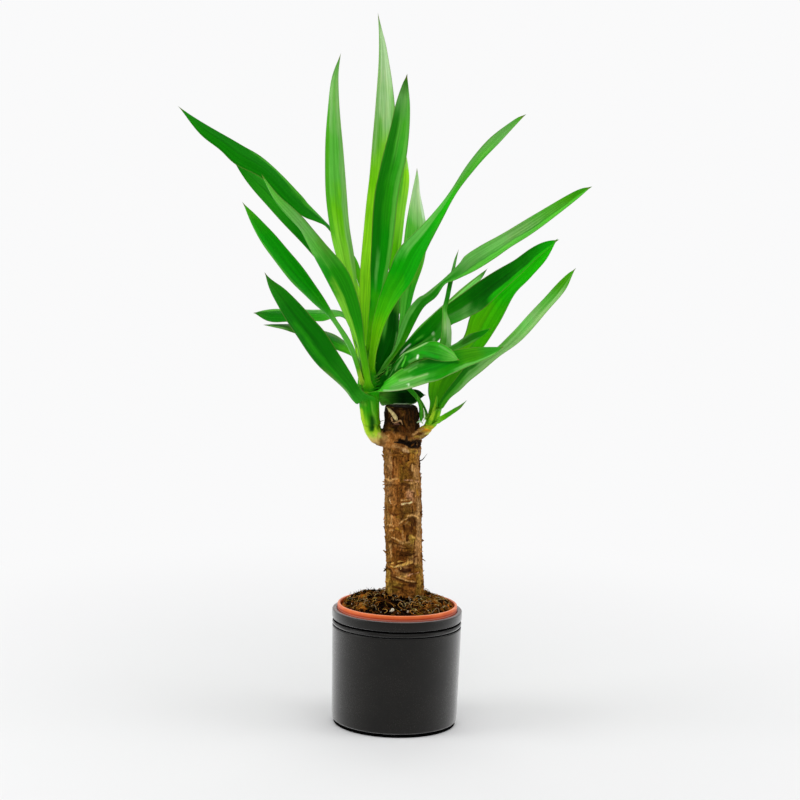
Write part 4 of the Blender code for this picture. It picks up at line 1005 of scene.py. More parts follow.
def bark_bits():
    """Loose scales, stubs of old leaf bases and dry threads on the bark."""
    heap = Heap()
    rng = random.Random(4)

    def scale(p, out, along, length, width, curl, tint):
        side = out.cross(along).normalized()
        n, m = 8, 5
        pts = []
        for face in (0, 1):
            for i in range(n + 1):
                t = i / n
                w = width * (math.sin(math.pi * (0.12 + 0.80 * t)) ** 0.7) * (1 + 0.12 * math.sin(9 * t + p.z * 900))
                for j in range(m):
                    s = j / (m - 1) * 2 - 1
                    lift = curl * (t ** 2.2) + width * 0.22 * (1 - s * s) - 0.00035
                    q = p + along * (length * (t - 0.25)) + side * (w * s * 0.5) + out * (lift - face * 0.00032)
                    pts.append(tuple(q))
        faces = []
        for i in range(n):
            for j in range(m - 1):
                a = i * m + j
                faces.append((a, a + 1, a + m + 1, a + m))
                b = a + (n + 1) * m
                faces.append((b + 1, b, b + m, b + m + 1))
        back = (n + 1) * m
        for i in range(n):
            a = i * m
            faces.append((a, a + m, back + a + m, back + a))
            a = i * m + m - 1
            faces.append((a + m, a, back + a, back + a + m))
        for j in range(m - 1):
            faces.append((j + 1, j, back + j, back + j + 1))
            a = n * m + j
            faces.append((a, a + 1, back + a + 1, back + a))
        shade = np.array([tint * (0.75 + 0.5 * (k % back) / back) for k in range(len(pts))])
        heap.add(pts, faces, shade)

    colours = [TAN, BROWN, OCHRE, EARTH["sienna"], GREY, EARTH["rust"]]
    for _ in range(150):
        z = rng.uniform(0.140, 0.338)
        c, r = at_height(CANE_LINE, CANE_RADII, z)
        a = rng.uniform(0, 2 * math.pi)
        out = Vector((math.cos(a), math.sin(a), 0))
        flat = Vector((-math.sin(a), math.cos(a), 0))
        if rng.random() < 0.62:
            along = (flat * rng.choice((-1, 1)) + Vector((0, 0, rng.uniform(-0.3, 0.3)))).normalized()
            length, width = rng.uniform(0.006, 0.017), rng.uniform(0.0014, 0.0030)
        else:
            along = (Vector((0, 0, rng.choice((-1, 1)))) + flat * rng.uniform(-0.5, 0.5)).normalized()
            length, width = rng.uniform(0.004, 0.009), rng.uniform(0.0016, 0.0036)
        spot = Vector((c.x, c.y, z)) + out * (r + 0.0002)
        scale(spot, out, along, length, width, rng.uniform(0.0002, 0.0012), bark_tint(spot) * rng.uniform(0.85, 1.25))

    def thread(points, radius, tint, sides=6):
        line = through([Vector(p) for p in points], 14)
        radii = [radius * (1 - 0.85 * (i / 14)) for i in range(15)]
        heap.add(tube_points(line, radii, sides), ring_faces(15, sides), tint)

    # the dry thread on the right below the collar, and stubs on both sides
    p, _ = on_cane(419.5, 461)
    thread([p, p + Vector((0.0030, -0.001, 0.0015)), sight(423.5, 458.5, 2), sight(427.3, 453.6, 0)], 0.00075, linear((66, 52, 36)))
    thread([sight(377.4, 424.8, 0), sight(380.4, 421.6, 2), sight(385.6, 419.6, 2)], 0.0007, linear((118, 122, 78)))
    for u, v, du, tint in ((383.2, 484.5, -1.9, GREY), (383.0, 488.5, -1.2, BROWN), (383.6, 569, -2.0, DARK), (420.2, 511.5, 1.4, DARK),
                           (421.8, 571, 1.6, BLACK), (422.0, 575, 1.2, DARK), (383.4, 452, -0.8, GREY), (420.6, 492, 1.0, TAN), (384.2, 529, -0.9, BROWN)):
        z = sight(u, v, 10).z
        c, r = at_height(CANE_LINE, CANE_RADII, z)
        way = Vector((math.copysign(1, du), 0, 0))
        s = Vector((c.x, c.y, z)) + way * (r - 0.001)
        thread([s, s + way * (0.001 + abs(du) * 0.0005), s + way * (0.001 + abs(du) * 0.00105) + Vector((0, 0, 0.0010 * rng.choice((-1, 1))))], 0.00095, tint, 7)
    for _ in range(46):
        z = rng.uniform(0.145, 0.335)
        c, r = at_height(CANE_LINE, CANE_RADII, z)
        a = rng.uniform(0, 2 * math.pi)
        out = Vector((math.cos(a), math.sin(a), 0))
        flat = Vector((-math.sin(a), math.cos(a), 0))
        s = Vector((c.x, c.y, z)) + out * (r - 0.0001)
        w = flat * rng.uniform(-0.006, 0.006) + Vector((0, 0, rng.uniform(-0.006, 0.006)))
        thread([s, s + w * 0.5 + out * 0.0006, s + w + out * rng.uniform(-0.0002, 0.0006)], rng.uniform(0.00016, 0.00030), colours[rng.randrange(5)], 5)
    piece("bark_scales", heap.mesh("bark_scales"), BARK)


bark_bits()


# -------------------------------------------------------------------- the soil
def soil_finish():
    f = Finish("peat_soil")
    tint, place = f.attribute("tint"), f.place()
    crumb = f.noise(place, 420.0, 5.0, 0.75)
    fine = f.noise(place, 1600.0, 3.0, 0.7)
    fibre = f.noise(f.scaled(place, (260, 1100, 700)), 1.0, 3.0, 0.6, 1.2)
    c = f.mix(f.fit(crumb, 0.60, 0.36, 0.0, 0.80), tint, f.mix(1.0, tint, (0.26, 0.20, 0.16), "MULTIPLY"))
    c = f.mix(f.fit(fine, 0.60, 0.76, 0.0, 0.45), c, f.mix(1.0, tint, (2.3, 2.0, 1.6), "MULTIPLY"))
    c = f.mix(f.fit(fibre, 0.62, 0.72, 0.0, 0.40), c, f.mix(1.0, tint, (2.4, 1.9, 1.2), "MULTIPLY"))
    f.set(Base_Color=c)
    f.set(Roughness=f.fit(crumb, 0.3, 0.7, 0.98, 0.86))
    f.shader.inputs["Specular IOR Level"].default_value = 0.03
    h = f.sum("ADD", crumb, f.sum("MULTIPLY", fine, 0.45))
    f.set(Normal=f.bump(h, 0.9, 0.0012))
    return f.mat


SOIL = soil_finish()
SOIL_TOP = NURSERY_TOP - 0.0012
SOIL_R = NURSERY_RIM_R - 0.0042


def soil_level(x, y):
    """Height of the peat before its crumbs."""
    r = math.hypot(x, y) / SOIL_R
    a = math.atan2(y, x)
    rise = float(np.interp(r, (0.0, 0.30, 0.55, 0.78, 0.94, 1.0), (0.0098, 0.0098, 0.0068, 0.0032, 0.0004, -0.0024)))
    rise += 0.0026 * float(smooth(y, 0.012, 0.040)) * (1 - float(smooth(abs(x + 0.008), 0.034, 0.052))) * float(1 - smooth(r, 0.90, 1.0))
    rise += 0.0010 * math.sin(5 * a + 9 * r) * min(1.0, r * 2) + 0.0012 * math.sin(2 * a + 0.6) * r
    return SOIL_TOP + rise


def soil():
    rows, sides = 62, 190
    pts = []
    for j in range(1, rows + 1):
        r = SOIL_R * (j / rows) ** 0.9
        for k in range(sides):
            a = 2 * math.pi * k / sides
            x, y = r * math.cos(a), r * math.sin(a)
            pts.append((x, y, soil_level(x, y)))
    pts = np.array(pts)
    lumps = rough(pts, 85.0, 4, 31.0)
    crumbs = rough(pts, 330.0, 3, 33.0)
    radial = np.hypot(pts[:, 0], pts[:, 1]) / SOIL_R
    hold = 1 - smooth(radial, 0.93, 1.0)
    pts[:, 2] += (lumps * 0.0030 + crumbs * 0.0013) * hold
    warm = rough(pts, 48.0, 3, 35.0)
    peat, rust, olive = linear((32, 15, 5)), linear((168, 98, 30)), linear((136, 104, 28))
    side_zone = smooth(np.abs(pts[:, 0] + 0.003), 0.016, 0.036)
    c = peat * np.ones((len(pts), 1))

    c = layer(c, rust, smooth(warm + 0.6 * lumps, -0.1, 0.45) * (0.12 + 0.83 * side_zone))
    c = layer(c, olive, smooth(-warm + 0.6 * crumbs, 0.0, 0.5) * 0.75 * side_zone)
    c = c * (1 + 0.9 * np.clip(lumps, -0.7, 1))[:, None]
    # the soil in front of the cane is painted darker as shade, and the heap to its right lighter
    flat = np.asarray(pts)
    painted_shade_front = smooth(flat[:, 1], 0.004, -0.010) * smooth(flat[:, 0], -0.036, -0.026) * smooth(flat[:, 0], 0.017, 0.008)
    dry = smooth(flat[:, 0], 0.012, 0.020) * smooth(flat[:, 0], 0.044, 0.034)
    c = c * (1 - 0.42 * painted_shade_front + 0.35 * dry)[:, None]
    faces = []
    for j in range(rows - 1):
        a, b = j * sides, (j + 1) * sides
        for k in range(sides):
            m = (k + 1) % sides
            faces.append((a + k, b + k, b + m, a + m))
    n = len(pts)
    extra, tints = [(0.0, 0.0, soil_level(0, 0))], [peat]
    faces += [(n, k, (k + 1) % sides) for k in range(sides)]
    n += 1
    prev = (rows - 1) * sides
    for r, z in ((NURSERY_BODY_TOP_R - NURSERY_WALL - 2 * GAP, NURSERY_TOP - NURSERY_LIP - 0.0036),
                 (NURSERY_BASE_R - NURSERY_WALL - 2 * GAP, POT_FLOOR + NURSERY_WALL + 0.0022)):
        for k in range(sides):
            a = 2 * math.pi * k / sides
            extra.append((r * math.cos(a), r * math.sin(a), z))
            tints.append(peat)
        for k in range(sides):
            m = (k + 1) % sides
            faces.append((prev + k, n + k, n + m, prev + m))
        prev = n
        n += sides
    faces.append(tuple(prev + k for k in reversed(range(sides))))
    mesh = plain_mesh("peat_soil", np.vstack([pts, extra]), faces, tint=np.vstack([c, tints]))
    piece("peat_soil", mesh, SOIL, ("soil",))

    # Crumbs, coir fibres, tufts of moss and grains of perlite on the surface
    rng = random.Random(23)
    heap = Heap()
    ball = []
    for i in range(1, 6):
        th = math.pi * i / 6
        for k in range(8):
            ph = 2 * math.pi * (k + 0.5 * (i % 2)) / 8
            ball.append((math.sin(th) * math.cos(ph), math.sin(th) * math.sin(ph), math.cos(th)))
    ball = np.array([(0, 0, 1)] + ball + [(0, 0, -1)])
    ball_faces = [(0, 1 + k, 1 + (k + 1) % 8) for k in range(8)]
    for i in range(4):
        a, b = 1 + i * 8, 9 + i * 8
        for k in range(8):
            ball_faces.append((a + k, b + k, b + (k + 1) % 8, a + (k + 1) % 8))
    ball_faces += [(33 + k, 41, 33 + (k + 1) % 8) for k in range(8)]

    def lump(x, y, z, size, tint, squash=0.7, rag=0.42):
        q = ball.copy()
        shift = rng.uniform(0, 90)
        d = np.array([1 + rag * noise.noise(Vector(p) * 1.7 + Vector((shift, 0, 0))) * 1.5
                      + rag * 0.6 * noise.noise(Vector(p) * 4.0 + Vector((0, shift, 0))) for p in q])
        q = q * d[:, None] * size * np.array([1, rng.uniform(0.6, 1.0), squash])
        a, b = rng.uniform(0, 6.28), rng.uniform(-0.6, 0.6)
        ca, sa, cb, sb = math.cos(a), math.sin(a), math.cos(b), math.sin(b)
        q = q @ np.array([[ca, sa, 0], [-sa, ca, 0], [0, 0, 1]]) @ np.array([[1, 0, 0], [0, cb, sb], [0, -sb, cb]])
        heap.add(q + np.array([x, y, z]), ball_faces, tint)

    def spot(spread=1.0):
        while True:
            r = SOIL_R * 0.955 * math.sqrt(rng.random()) * spread
            a = rng.uniform(0, 2 * math.pi)
            x, y = r * math.cos(a), r * math.sin(a)
            c, rad = at_height(CANE_LINE, CANE_RADII, 0.138)
            if math.hypot(x - c.x, y - c.y) > rad + 0.0012:
                return x, y

    peats = [linear(t) for t in ((24, 11, 4), (42, 22, 8), (66, 38, 13), (14, 7, 3), (110, 66, 22), (146, 92, 34))]
    for _ in range(680):
        x, y = spot()
        size = rng.uniform(0.0006, 0.0019) * (1.35 if rng.random() < 0.12 else 1.0)
        tone = peats[(3, 0, 0, 1, 1, 2, 4)[rng.randrange(7)]] if abs(x + 0.001) < 0.026 else peats[rng.randrange(6)]
        shade = 0.44 if y < -0.002 and abs(x + 0.009) < 0.023 + rng.uniform(-0.006, 0.006) else 1.0
        shade *= 1.35 if 0.014 < x < 0.040 else 1.0
        lump(x, y, soil_level(x, y) + 0.0006 + size * 0.2, size, tone * rng.uniform(0.6, 1.4) * shade)
    for _ in range(34):
        x, y = spot()
        lump(x, y, soil_level(x, y) + 0.0014, rng.uniform(0.0004, 0.0009), linear((206, 196, 176)) * rng.uniform(0.7, 1.0), 0.85, 0.25)
    # the larger grains that lie in front
    for u, v, d, size, tone in ((391.2, 609.8, -50, 0.0019, (250, 240, 214)), (392.0, 607.4, -49, 0.0020, (250, 240, 214)), (392.9, 605.2, -46, 0.0018, (250, 240, 214)), (408, 609.5, -52, 0.0015, (196, 176, 156)),
                                (405, 602, -32, 0.0012, (188, 170, 148)), (398, 612, -56, 0.0011, (176, 150, 122)),
                                (425, 606, -46, 0.0012, (150, 120, 84)), (372, 604, -40, 0.0012, (160, 128, 84))):
        p = sight(u, v, d)
        lump(p.x, p.y, soil_level(p.x, p.y) + 0.0018, size, linear(tone), 0.8, 0.3)

    def fibre(x, y, length, radius, tint, rise=0.002, sides=5, steps=10):
        a = rng.uniform(0, 2 * math.pi)
        line = []
        bend = rng.uniform(-3.0, 3.0)
        p = Vector((x, y, soil_level(x, y) + 0.0010))
        for i in range(steps + 1):
            t = i / steps
            line.append(p + Vector((0, 0, rise * math.sin(math.pi * t) * 1.0)))
            a += bend / steps + rng.uniform(-0.18, 0.18)
            p = p + Vector((math.cos(a), math.sin(a), 0)) * (length / steps)
            if math.hypot(p.x, p.y) > SOIL_R * 0.97:
                p = p * (SOIL_R * 0.97 / math.hypot(p.x, p.y))
            p.z = soil_level(p.x, p.y) + 0.0010
        radii = [radius * (0.35 + 0.65 * math.sin(math.pi * (0.08 + 0.84 * i / steps))) for i in range(steps + 1)]
        heap.add(tube_points(line, radii, sides), ring_faces(steps + 1, sides), tint)

    straws = [linear(t) for t in ((190, 124, 46), (166, 98, 30), (212, 160, 80), (116, 68, 22), (230, 198, 130), (140, 116, 40))]
    for _ in range(620):
        x, y = spot()
        if -0.032 < x < 0.012 and rng.random() < 0.66:
            continue
        fibre(x, y, rng.uniform(0.004, 0.015), rng.uniform(0.00014, 0.00034), straws[rng.randrange(6)] * rng.uniform(0.6, 1.5),
              rng.uniform(0.0003, 0.0028))
    for _ in range(26):
        x, y = spot()
        fibre(x, y, rng.uniform(0.008, 0.018), rng.uniform(0.00018, 0.00030), linear((190, 170, 136)), rng.uniform(0.0015, 0.0042))
    # dark tufts that stand up at the back and left
    for x0, y0, n, h in ((-0.040, 0.012, 26, 0.0075), (-0.053, -0.002, 22, 0.0060), (-0.030, 0.030, 18, 0.0065), (0.036, 0.016, 14, 0.0045),
                         (-0.045, -0.020, 14, 0.0045), (0.050, -0.004, 12, 0.0035)):
        for _ in range(n):
            x, y = x0 + rng.gauss(0, 0.0035), y0 + rng.gauss(0, 0.0035)
            if math.hypot(x, y) > SOIL_R * 0.95:
                continue
            base = Vector((x, y, soil_level(x, y)))
            lean = Vector((rng.gauss(0, 0.4), rng.gauss(0, 0.4), 1)).normalized()
            tall = h * rng.uniform(0.4, 1.1)
            line = [base + lean * (tall * t) + Vector((rng.gauss(0, 0.0002), rng.gauss(0, 0.0002), 0)) * (3 * t) for t in (0, 0.25, 0.5, 0.75, 1.0)]
            heap.add(tube_points(line, [0.00042, 0.00038, 0.0003, 0.0002, 0.00006], 5), ring_faces(5, 5),
                     linear((50, 40, 22)) * rng.uniform(0.5, 1.5))
            if rng.random() < 0.5:
                lump(x, y, base.z + tall * 0.35, rng.uniform(0.0010, 0.0022), linear((36, 26, 14)) * rng.uniform(0.6, 1.3), 0.9, 0.6)
    piece("soil_crumbs", heap.mesh("soil_crumbs"), SOIL)


soil()

# ------------------------------------------------------------- the two shoots
SHOOT_A = [(392, 440.4), (381, 438.2), (373.6, 431.4), (370.6, 420), (369.8, 407),
           (369.0, 393), (368.6, 379), (368.4, 365), (368.2, 352)]
SHOOT_A_DEPTH = 4
SHOOT_A_R = [0.0080, 0.0083, 0.0092, 0.0094, 0.0091, 0.0083, 0.0070, 0.0055, 0.0040]
SHOOT_B = [(415, 437), (424, 431), (430, 425), (433.5, 417), (435, 409), (436, 402), (436.6, 396)]
SHOOT_B_DEPTH = 6
SHOOT_B_R = [0.0058, 0.0058, 0.0057, 0.0055, 0.0050, 0.0042, 0.0034]
SHOOT_LINE = {"A": [sight(u, v, SHOOT_A_DEPTH) for u, v in SHOOT_A],
              "B": [sight(u, v, SHOOT_B_DEPTH) for u, v in SHOOT_B]}
SHOOT_R = {"A": SHOOT_A_R, "B": SHOOT_B_R}


def on_shoot(key, v, azimuth):
    """The place on a shoot's skin at height v of the elevation: its axis
    point, radius and the direction out of the skin."""
    line, radii = SHOOT_LINE[key], SHOOT_R[key]
    level = sight((370, 436)[key == "B"], v, SHOOT_A_DEPTH).z
    for i in range(len(line) - 1):
        if line[i].z <= level <= line[i + 1].z:
            break
    else:
        i = len(line) - 2
    f = min(max((level - line[i].z) / (line[i + 1].z - line[i].z), 0.0), 1.0)
    a = math.radians(azimuth)
    return line[i].lerp(line[i + 1], f), radii[i] * (1 - f) + radii[i + 1] * f, Vector((math.cos(a), math.sin(a), 0.0))


def sheath_finish():
    """Fleshy overlapping sheaths: the tint with fine lengthwise ribs."""
    f = Finish("shoot_sheath")
    tint, place = f.attribute("tint"), f.place()
    rib = f.noise(f.scaled(place, (1200, 1200, 60)), 1.0, 3.0, 0.6)
    cloud = f.noise(place, 160.0, 4.0, 0.6)
    c = f.mix(f.fit(rib, 0.58, 0.36, 0.0, 0.35), tint, f.mix(1.0, tint, (0.55, 0.60, 0.5), "MULTIPLY"))
    c = f.mix(f.fit(cloud, 0.50, 0.74, 0.0, 0.35), c, f.mix(1.0, tint, (1.4, 1.25, 1.3), "MULTIPLY"))
    f.set(Base_Color=c)
    f.set(Roughness=f.fit(cloud, 0.3, 0.7, 0.42, 0.58))
    f.shader.inputs["Specular IOR Level"].default_value = 0.05
    f.set(Normal=f.bump(f.sum("ADD", rib, cloud), 0.45, 0.0005))
    return f.mat


SHEATH = sheath_finish()
LEAF_GAIN = 1.25             # base colour over the colour reached in this light
SAP = {k: linear(c) * LEAF_GAIN for k, c in {
    "leaf": (34, 132, 4), "grass": (62, 146, 12), "sap": (150, 190, 36), "lime": (120, 184, 26),
    "fern": (96, 166, 40), "dark": (22, 92, 4), "shade": (14, 68, 6), "mid": (50, 124, 2),
    "butter": (182, 190, 84), "cream": (196, 208, 132), "husk": (186, 158, 94), "amber": (196, 136, 28),
    "brown": (120, 80, 36), "cocoa": (78, 36, 4), "olive": (98, 122, 22), "mustard": (146, 116, 46),
    "umber": (84, 54, 22), "straw": (190, 168, 84), "black_and_shade": (18, 10, 3), "clay": (150, 108, 60)}.items()}
# down the shoots: height on the elevation and colour
SAP_RUN = {"A": [(396, "leaf"), (412, "grass"), (424, "lime"), (432, "sap"), (437, "butter"), (441.5, "husk"), (446, "brown")],
           "B": [(404, "grass"), (416, "lime"), (424, "lime"), (428.5, "amber"), (432.5, "mustard"), (437, "umber")]}
# lines on their front: points, half width, colour, strength
SAP_MARKS = {
    "A": [([(368.4, 402), (369.6, 416)], 3.4, "leaf", 0.85), ([(361.4, 410), (363.6, 420), (366.4, 430), (369, 435)], 2.3, "sap", 0.90),
          ([(359.8, 410), (361.4, 420), (364, 430), (367, 437)], 1.0, "cream", 0.60),
          ([(376.6, 404), (377.4, 416), (377.6, 428)], 1.7, "mid", 0.85), ([(371.4, 402), (372.2, 410), (374.2, 418), (375.4, 424)], 1.2, "fern", 0.85),
          ([(369.8, 414), (370.6, 424), (371.4, 430)], 3.2, "mid", 0.85), ([(372.0, 418.4), (372.4, 424), (372.2, 429)], 2.9, "shade", 0.97),
          ([(378.4, 410), (378.8, 420), (378.6, 431)], 0.8, "olive", 0.80), ([(375.6, 428), (376, 436)], 1.4, "sap", 0.75),
          ([(371, 433), (373, 436)], 1.6, "lime", 0.60), ([(361, 400), (365.4, 404.6)], 2.0, "fern", 0.60),
          ([(357, 404), (359.6, 409)], 1.0, "fern", 0.70), ([(357.8, 396), (367.4, 398)], 1.9, "leaf", 0.85),
          ([(359, 395.6), (363.4, 393.6), (368.6, 392.2)], 0.8, "lime", 0.80), ([(374.4, 396), (376.6, 401)], 1.5, "mid", 0.70),
          ([(366.6, 399), (367.4, 404)], 0.8, "mid", 0.70), ([(378, 441), (384, 440)], 1.5, "brown", 0.60),
          ([(375.4, 443.4), (383, 445.4)], 1.3, "umber", 0.70), ([(379, 433.6), (384, 436)], 1.5, "husk", 0.70),
          ([(370, 441), (373.4, 443.6)], 1.0, "husk", 0.80),
          # the black line at the foot of this shoot is painted shade where it meets the cane
          ([(381.6, 426), (382.4, 431.6)], 2.2, "black_and_shade", 0.95), ([(384.5, 434), (385.5, 447)], 4.2, "clay", 0.95), ([(380.6, 439), (381, 446)], 1.6, "brown", 0.80), ([(377.6, 436), (378.4, 443)], 1.0, "mustard", 0.60)],
    "B": [([(431.4, 397), (431.2, 407), (429.6, 413.6), (427.6, 419)], 1.2, "dark", 0.95), ([(434.6, 398), (433.6, 409), (431.4, 419)], 2.4, "sap", 0.75),
          ([(441, 398), (438, 408), (434.6, 418), (432.6, 424)], 1.1, "mid", 0.85), ([(440.4, 411), (437.8, 419), (434.4, 426)], 1.4, "lime", 0.75),
          ([(441.6, 414.6), (439.4, 419.6), (436.6, 425.4)], 0.7, "cream", 0.55), ([(427.4, 420), (428, 424)], 1.4, "mid", 0.60),
          ([(426, 427.6), (431.6, 428.4)], 1.3, "sap", 0.70), ([(428.6, 427.4), (430, 427.6)], 0.9, "olive", 0.80),
          ([(422.4, 429.4), (426.4, 429.6), (429.4, 430.4)], 1.5, "amber", 0.85), ([(414, 434), (418, 431.6), (423.6, 428.4)], 1.2, "husk", 0.85),
          ([(418, 436.8), (424, 436.6)], 1.3, "mustard", 0.80), ([(419.4, 433.6), (423.4, 433.6)], 1.5, "cocoa", 0.97),
          ([(425, 434), (429.4, 431.8)], 1.0, "straw", 0.85), ([(427.4, 434), (432.4, 431.4)], 1.0, "butter", 0.75),
          ([(423, 424.4), (425.6, 425.4)], 0.8, "umber", 0.70)],
}


def sap_tint(P, key):
    """The shoots' colour at each point: one run down the shoot, with the lines
    of its front, shared by the shoot and by the foot of every leaf on it."""
    u, v = drawn(P)
    run = SAP_RUN[key]
    c = np.stack([np.interp(v, [r[0] for r in run], [SAP[r[1]][k] for r in run]) for k in range(3)], 1)
    front = 1 - smooth(P[:, 1], 0.0035, 0.0060)
    wander = rough(P, 150.0, 2, 44.0)
    for line, half, colour, strength in SAP_MARKS[key]:
        d = stroke(u, v, line) / (half * (1 + 0.20 * wander))
        c = layer(c, SAP[colour], (1 - smooth(d, 0.30, 1.35)) * strength * front)
    return c


def shoots():
    for key, name, node, sides, steps in (("A", "shoot_left_sheaths", "shoot_left", 56, 110),
                                          ("B", "shoot_right_sheaths", "shoot_right", 48, 80)):
        line = through(SHOOT_LINE[key], steps)
        radii = [blend(SHOOT_R[key], i / steps) for i in range(steps + 1)]
        P = tube_points(line, radii, sides)
        axis = np.repeat(np.array([tuple(p) for p in line]), sides, axis=0)
        out = P - axis
        size = np.linalg.norm(out, axis=1, keepdims=True)
        out /= size
        T = np.repeat(np.arange(steps + 1) / steps, sides)
        A = np.arctan2(out[:, 1], out[:, 0])
        # overlapping sheaths: each wraps the stem and ends in a slanting edge
        push = np.zeros(len(P))
        edge_tone = np.zeros(len(P))
        n = 6 if key == "A" else 4
        for k in range(n):
            turn = k * 2.4 + 0.7
            at = 0.20 + 0.72 * k / n + 0.05 * np.cos(A - turn)
            step = smooth(T, at, at + 0.012)
            push -= step * 0.00055
            edge_tone += np.exp(-((T - at) / 0.008) ** 2)
        push += 0.0004 * (1 - smooth(T, 0.16, 0.42))
        groove = np.exp(-((np.angle(np.exp(1j * (A - math.radians(-62))))) / 0.26) ** 2) * smooth(T, 0.20, 0.38)
        push -= groove * 0.0020 * (key == "A")
        push += rough(P, 240.0, 3, 41.0) * 0.00035 * (1 + 1.5 * (1 - smooth(T, 0.1, 0.3)))
        P = P + out * push[:, None]
        u, v = drawn(P)
        mottle = rough(P, 150.0, 3, 44.0)
        c = sap_tint(P, key)
        below = smooth(v, 432, 442) if key == "A" else smooth(v, 429, 434)
        c = layer(c, SAP["umber"], below * smooth(mottle, 0.05, 0.45) * 0.55)
        c = layer(c, SAP["husk"], below * smooth(-mottle, 0.15, 0.50) * 0.45)
        c = layer(c, c.mean(0) * 0.45, np.clip(edge_tone, 0, 1) * (0.30 - 0.25 * (P[:, 1] < 0.004)))
        mesh = plain_mesh(name, P, ring_faces(steps + 1, sides), tint=c)
        piece(name, mesh, SHEATH, (node,))


shoots()

# ------------------------------------------------------------------ the leaves
# name: shoot, (v, azimuth) of the base, colour, depths base to tip, how much
# deeper the first edge lies than the second, fold, first edge, second edge
LEAVES = {}


def leaf_plan(name, shoot, base, colour, depths, turn, fold, first, second):
    LEAVES[name] = (shoot, base, colour, depths, turn, fold, first, second)


leaf_plan("leaf_01", "A", (356, 138), "dark", (12, 40, 70, 90, 100), 10, 0.12,
          [(371, 330), (366, 296), (361, 273), (355, 257), (344, 243), (332, 229), (322, 218), (308, 203.5), (300, 194), (266, 160), (240, 144), (200, 121), (179, 107)],
          [(366, 332), (362, 300), (357, 278), (350, 263), (340, 248), (327, 228), (317, 222), (305, 217.5), (296, 211.5), (280, 197), (262, 178.5), (236, 165), (220, 150), (200, 134), (179, 107)])
leaf_plan("leaf_02", "A", (372, 112), "dark", (17, 54, 94, 126, 150), 12, 0.12,
          [(368, 345), (356, 292), (335, 257), (310, 225), (298, 212), (270, 184), (250, 168), (234, 161)],
          [(364, 350), (345, 302), (325, 270), (309, 251), (290, 231), (270, 209), (250, 186), (240, 172), (234, 161)])
leaf_plan("leaf_03", "A", (388, -110), "mid", (-8, -26, -60, -85, -100), -14, 0.12,
          [(371, 380), (366, 350), (361, 310), (352, 280), (340, 260), (320, 237.5), (300, 215), (280, 197), (262, 175)],
          [(363, 384), (358, 350), (345, 318), (330, 286), (315, 259), (308, 245), (300, 230), (286, 214), (272, 196), (262, 175)])
leaf_plan("leaf_04", "A", (364, 178), "mid", (5, 11, 20, 28, 30), 8, -0.12,
          [(358, 361), (355, 325), (347, 290), (337, 258), (330, 230), (325.5, 190), (325.5, 145), (328, 105), (332, 77), (340.5, 54.5)],
          [(362.5, 361), (361.5, 325), (358, 290), (354, 256), (349, 220), (345, 170), (341, 125), (338.5, 80), (340.5, 54.5)])
leaf_plan("leaf_05", "A", (386, -150), "mid", (-7, -13, -22, -34, -40), -12, 0.12,
          [(364, 382), (359, 364), (354, 348), (340, 324), (320, 292), (300, 264), (280, 240), (260, 219), (243, 203)],
          [(361, 388), (356, 368), (347, 345), (330, 319), (310, 300), (290, 280), (270, 255), (255, 231), (243, 203)])
leaf_plan("leaf_06", "A", (400, -118), "dark", (-7, -30, -60, -92, -120), -10, 0.12,
          [(370, 397), (360, 388), (350, 371), (337, 351), (325, 332), (303, 307), (287, 291), (270, 278), (265, 273)],
          [(361, 409), (352.5, 400), (345, 390.5), (330, 376.5), (315, 362), (300, 341), (285, 318), (270, 290), (265, 273)])
leaf_plan("leaf_07", "A", (378, 132), "mid", (12, 42, 86, 126, 160), 22, 0.10,
          [(363, 350), (345, 314), (320, 310), (290, 309), (265, 310), (254, 313)],
          [(360, 356), (345, 319), (320, 321), (288, 322), (268, 321), (254, 313)])
leaf_plan("leaf_08", "A", (393, 172), "dark", (6, 50, 92, 128, 155), 20, 0.10,
          [(361, 362), (350, 346), (335, 335), (315, 328), (288, 324), (275, 324), (264, 325)],
          [(358, 370), (352, 357), (337, 350), (315, 341), (295, 333), (280, 329), (264, 325)])
leaf_plan("leaf_09", "A", (390, 125), "dark", (16, 70, 115, 150, 175), 6, -0.12,
          [(366, 374), (356, 330), (347, 292), (337, 264), (325, 248)],
          [(362, 380), (352, 337), (341, 300), (331, 274), (325, 248)])
leaf_plan("leaf_10", "A", (350, 190), "mid", (4, 4, 6, 10, 16), 6, 0.14,
          [(363, 342), (359.5, 300), (361, 260), (366, 205), (370, 170), (375, 110), (378, 70), (379, 40), (378, 14)],
          [(369, 342), (380, 300), (385, 260), (391, 210), (395, 165), (396, 125), (393, 88), (387, 50), (382, 30), (378, 14)])
leaf_plan("leaf_11", "A", (352, -90), "dark", (-6, -24, -45, -70, -88), 4, 0.14,
          [(366, 345), (370, 300), (370.5, 260), (374, 200), (379, 172), (385, 147), (391, 125), (396, 103), (402, 85), (407, 75)],
          [(373, 345), (382, 300), (390, 262), (394, 235), (397, 205), (401, 180), (406, 160), (409, 135), (410, 110), (409, 92), (407, 75)])
leaf_plan("leaf_12", "A", (382, 36), "fresh", (10, 11, 24, 31, 36), -6, -0.12,
          [(371, 380), (374, 362), (380, 340), (384, 318), (387, 290), (391, 250), (396, 210), (400, 180), (405, 150)],
          [(376, 382), (386, 363), (396, 342), (399, 322), (399, 295), (399, 268), (402, 240), (405, 215), (409, 183), (408, 165), (405, 150)])
leaf_plan("leaf_13", "A", (364, 50), "mid", (12, 46, 74, 96, 112), -10, -0.12,
          [(377, 363), (392, 350), (399, 320), (402, 280), (403, 248), (408, 213), (411, 197), (415, 178), (417, 169)],
          [(379, 368), (398, 354), (406, 322), (414, 292), (424, 262), (427, 238), (424, 213), (420, 193), (419, 180), (417, 169)])
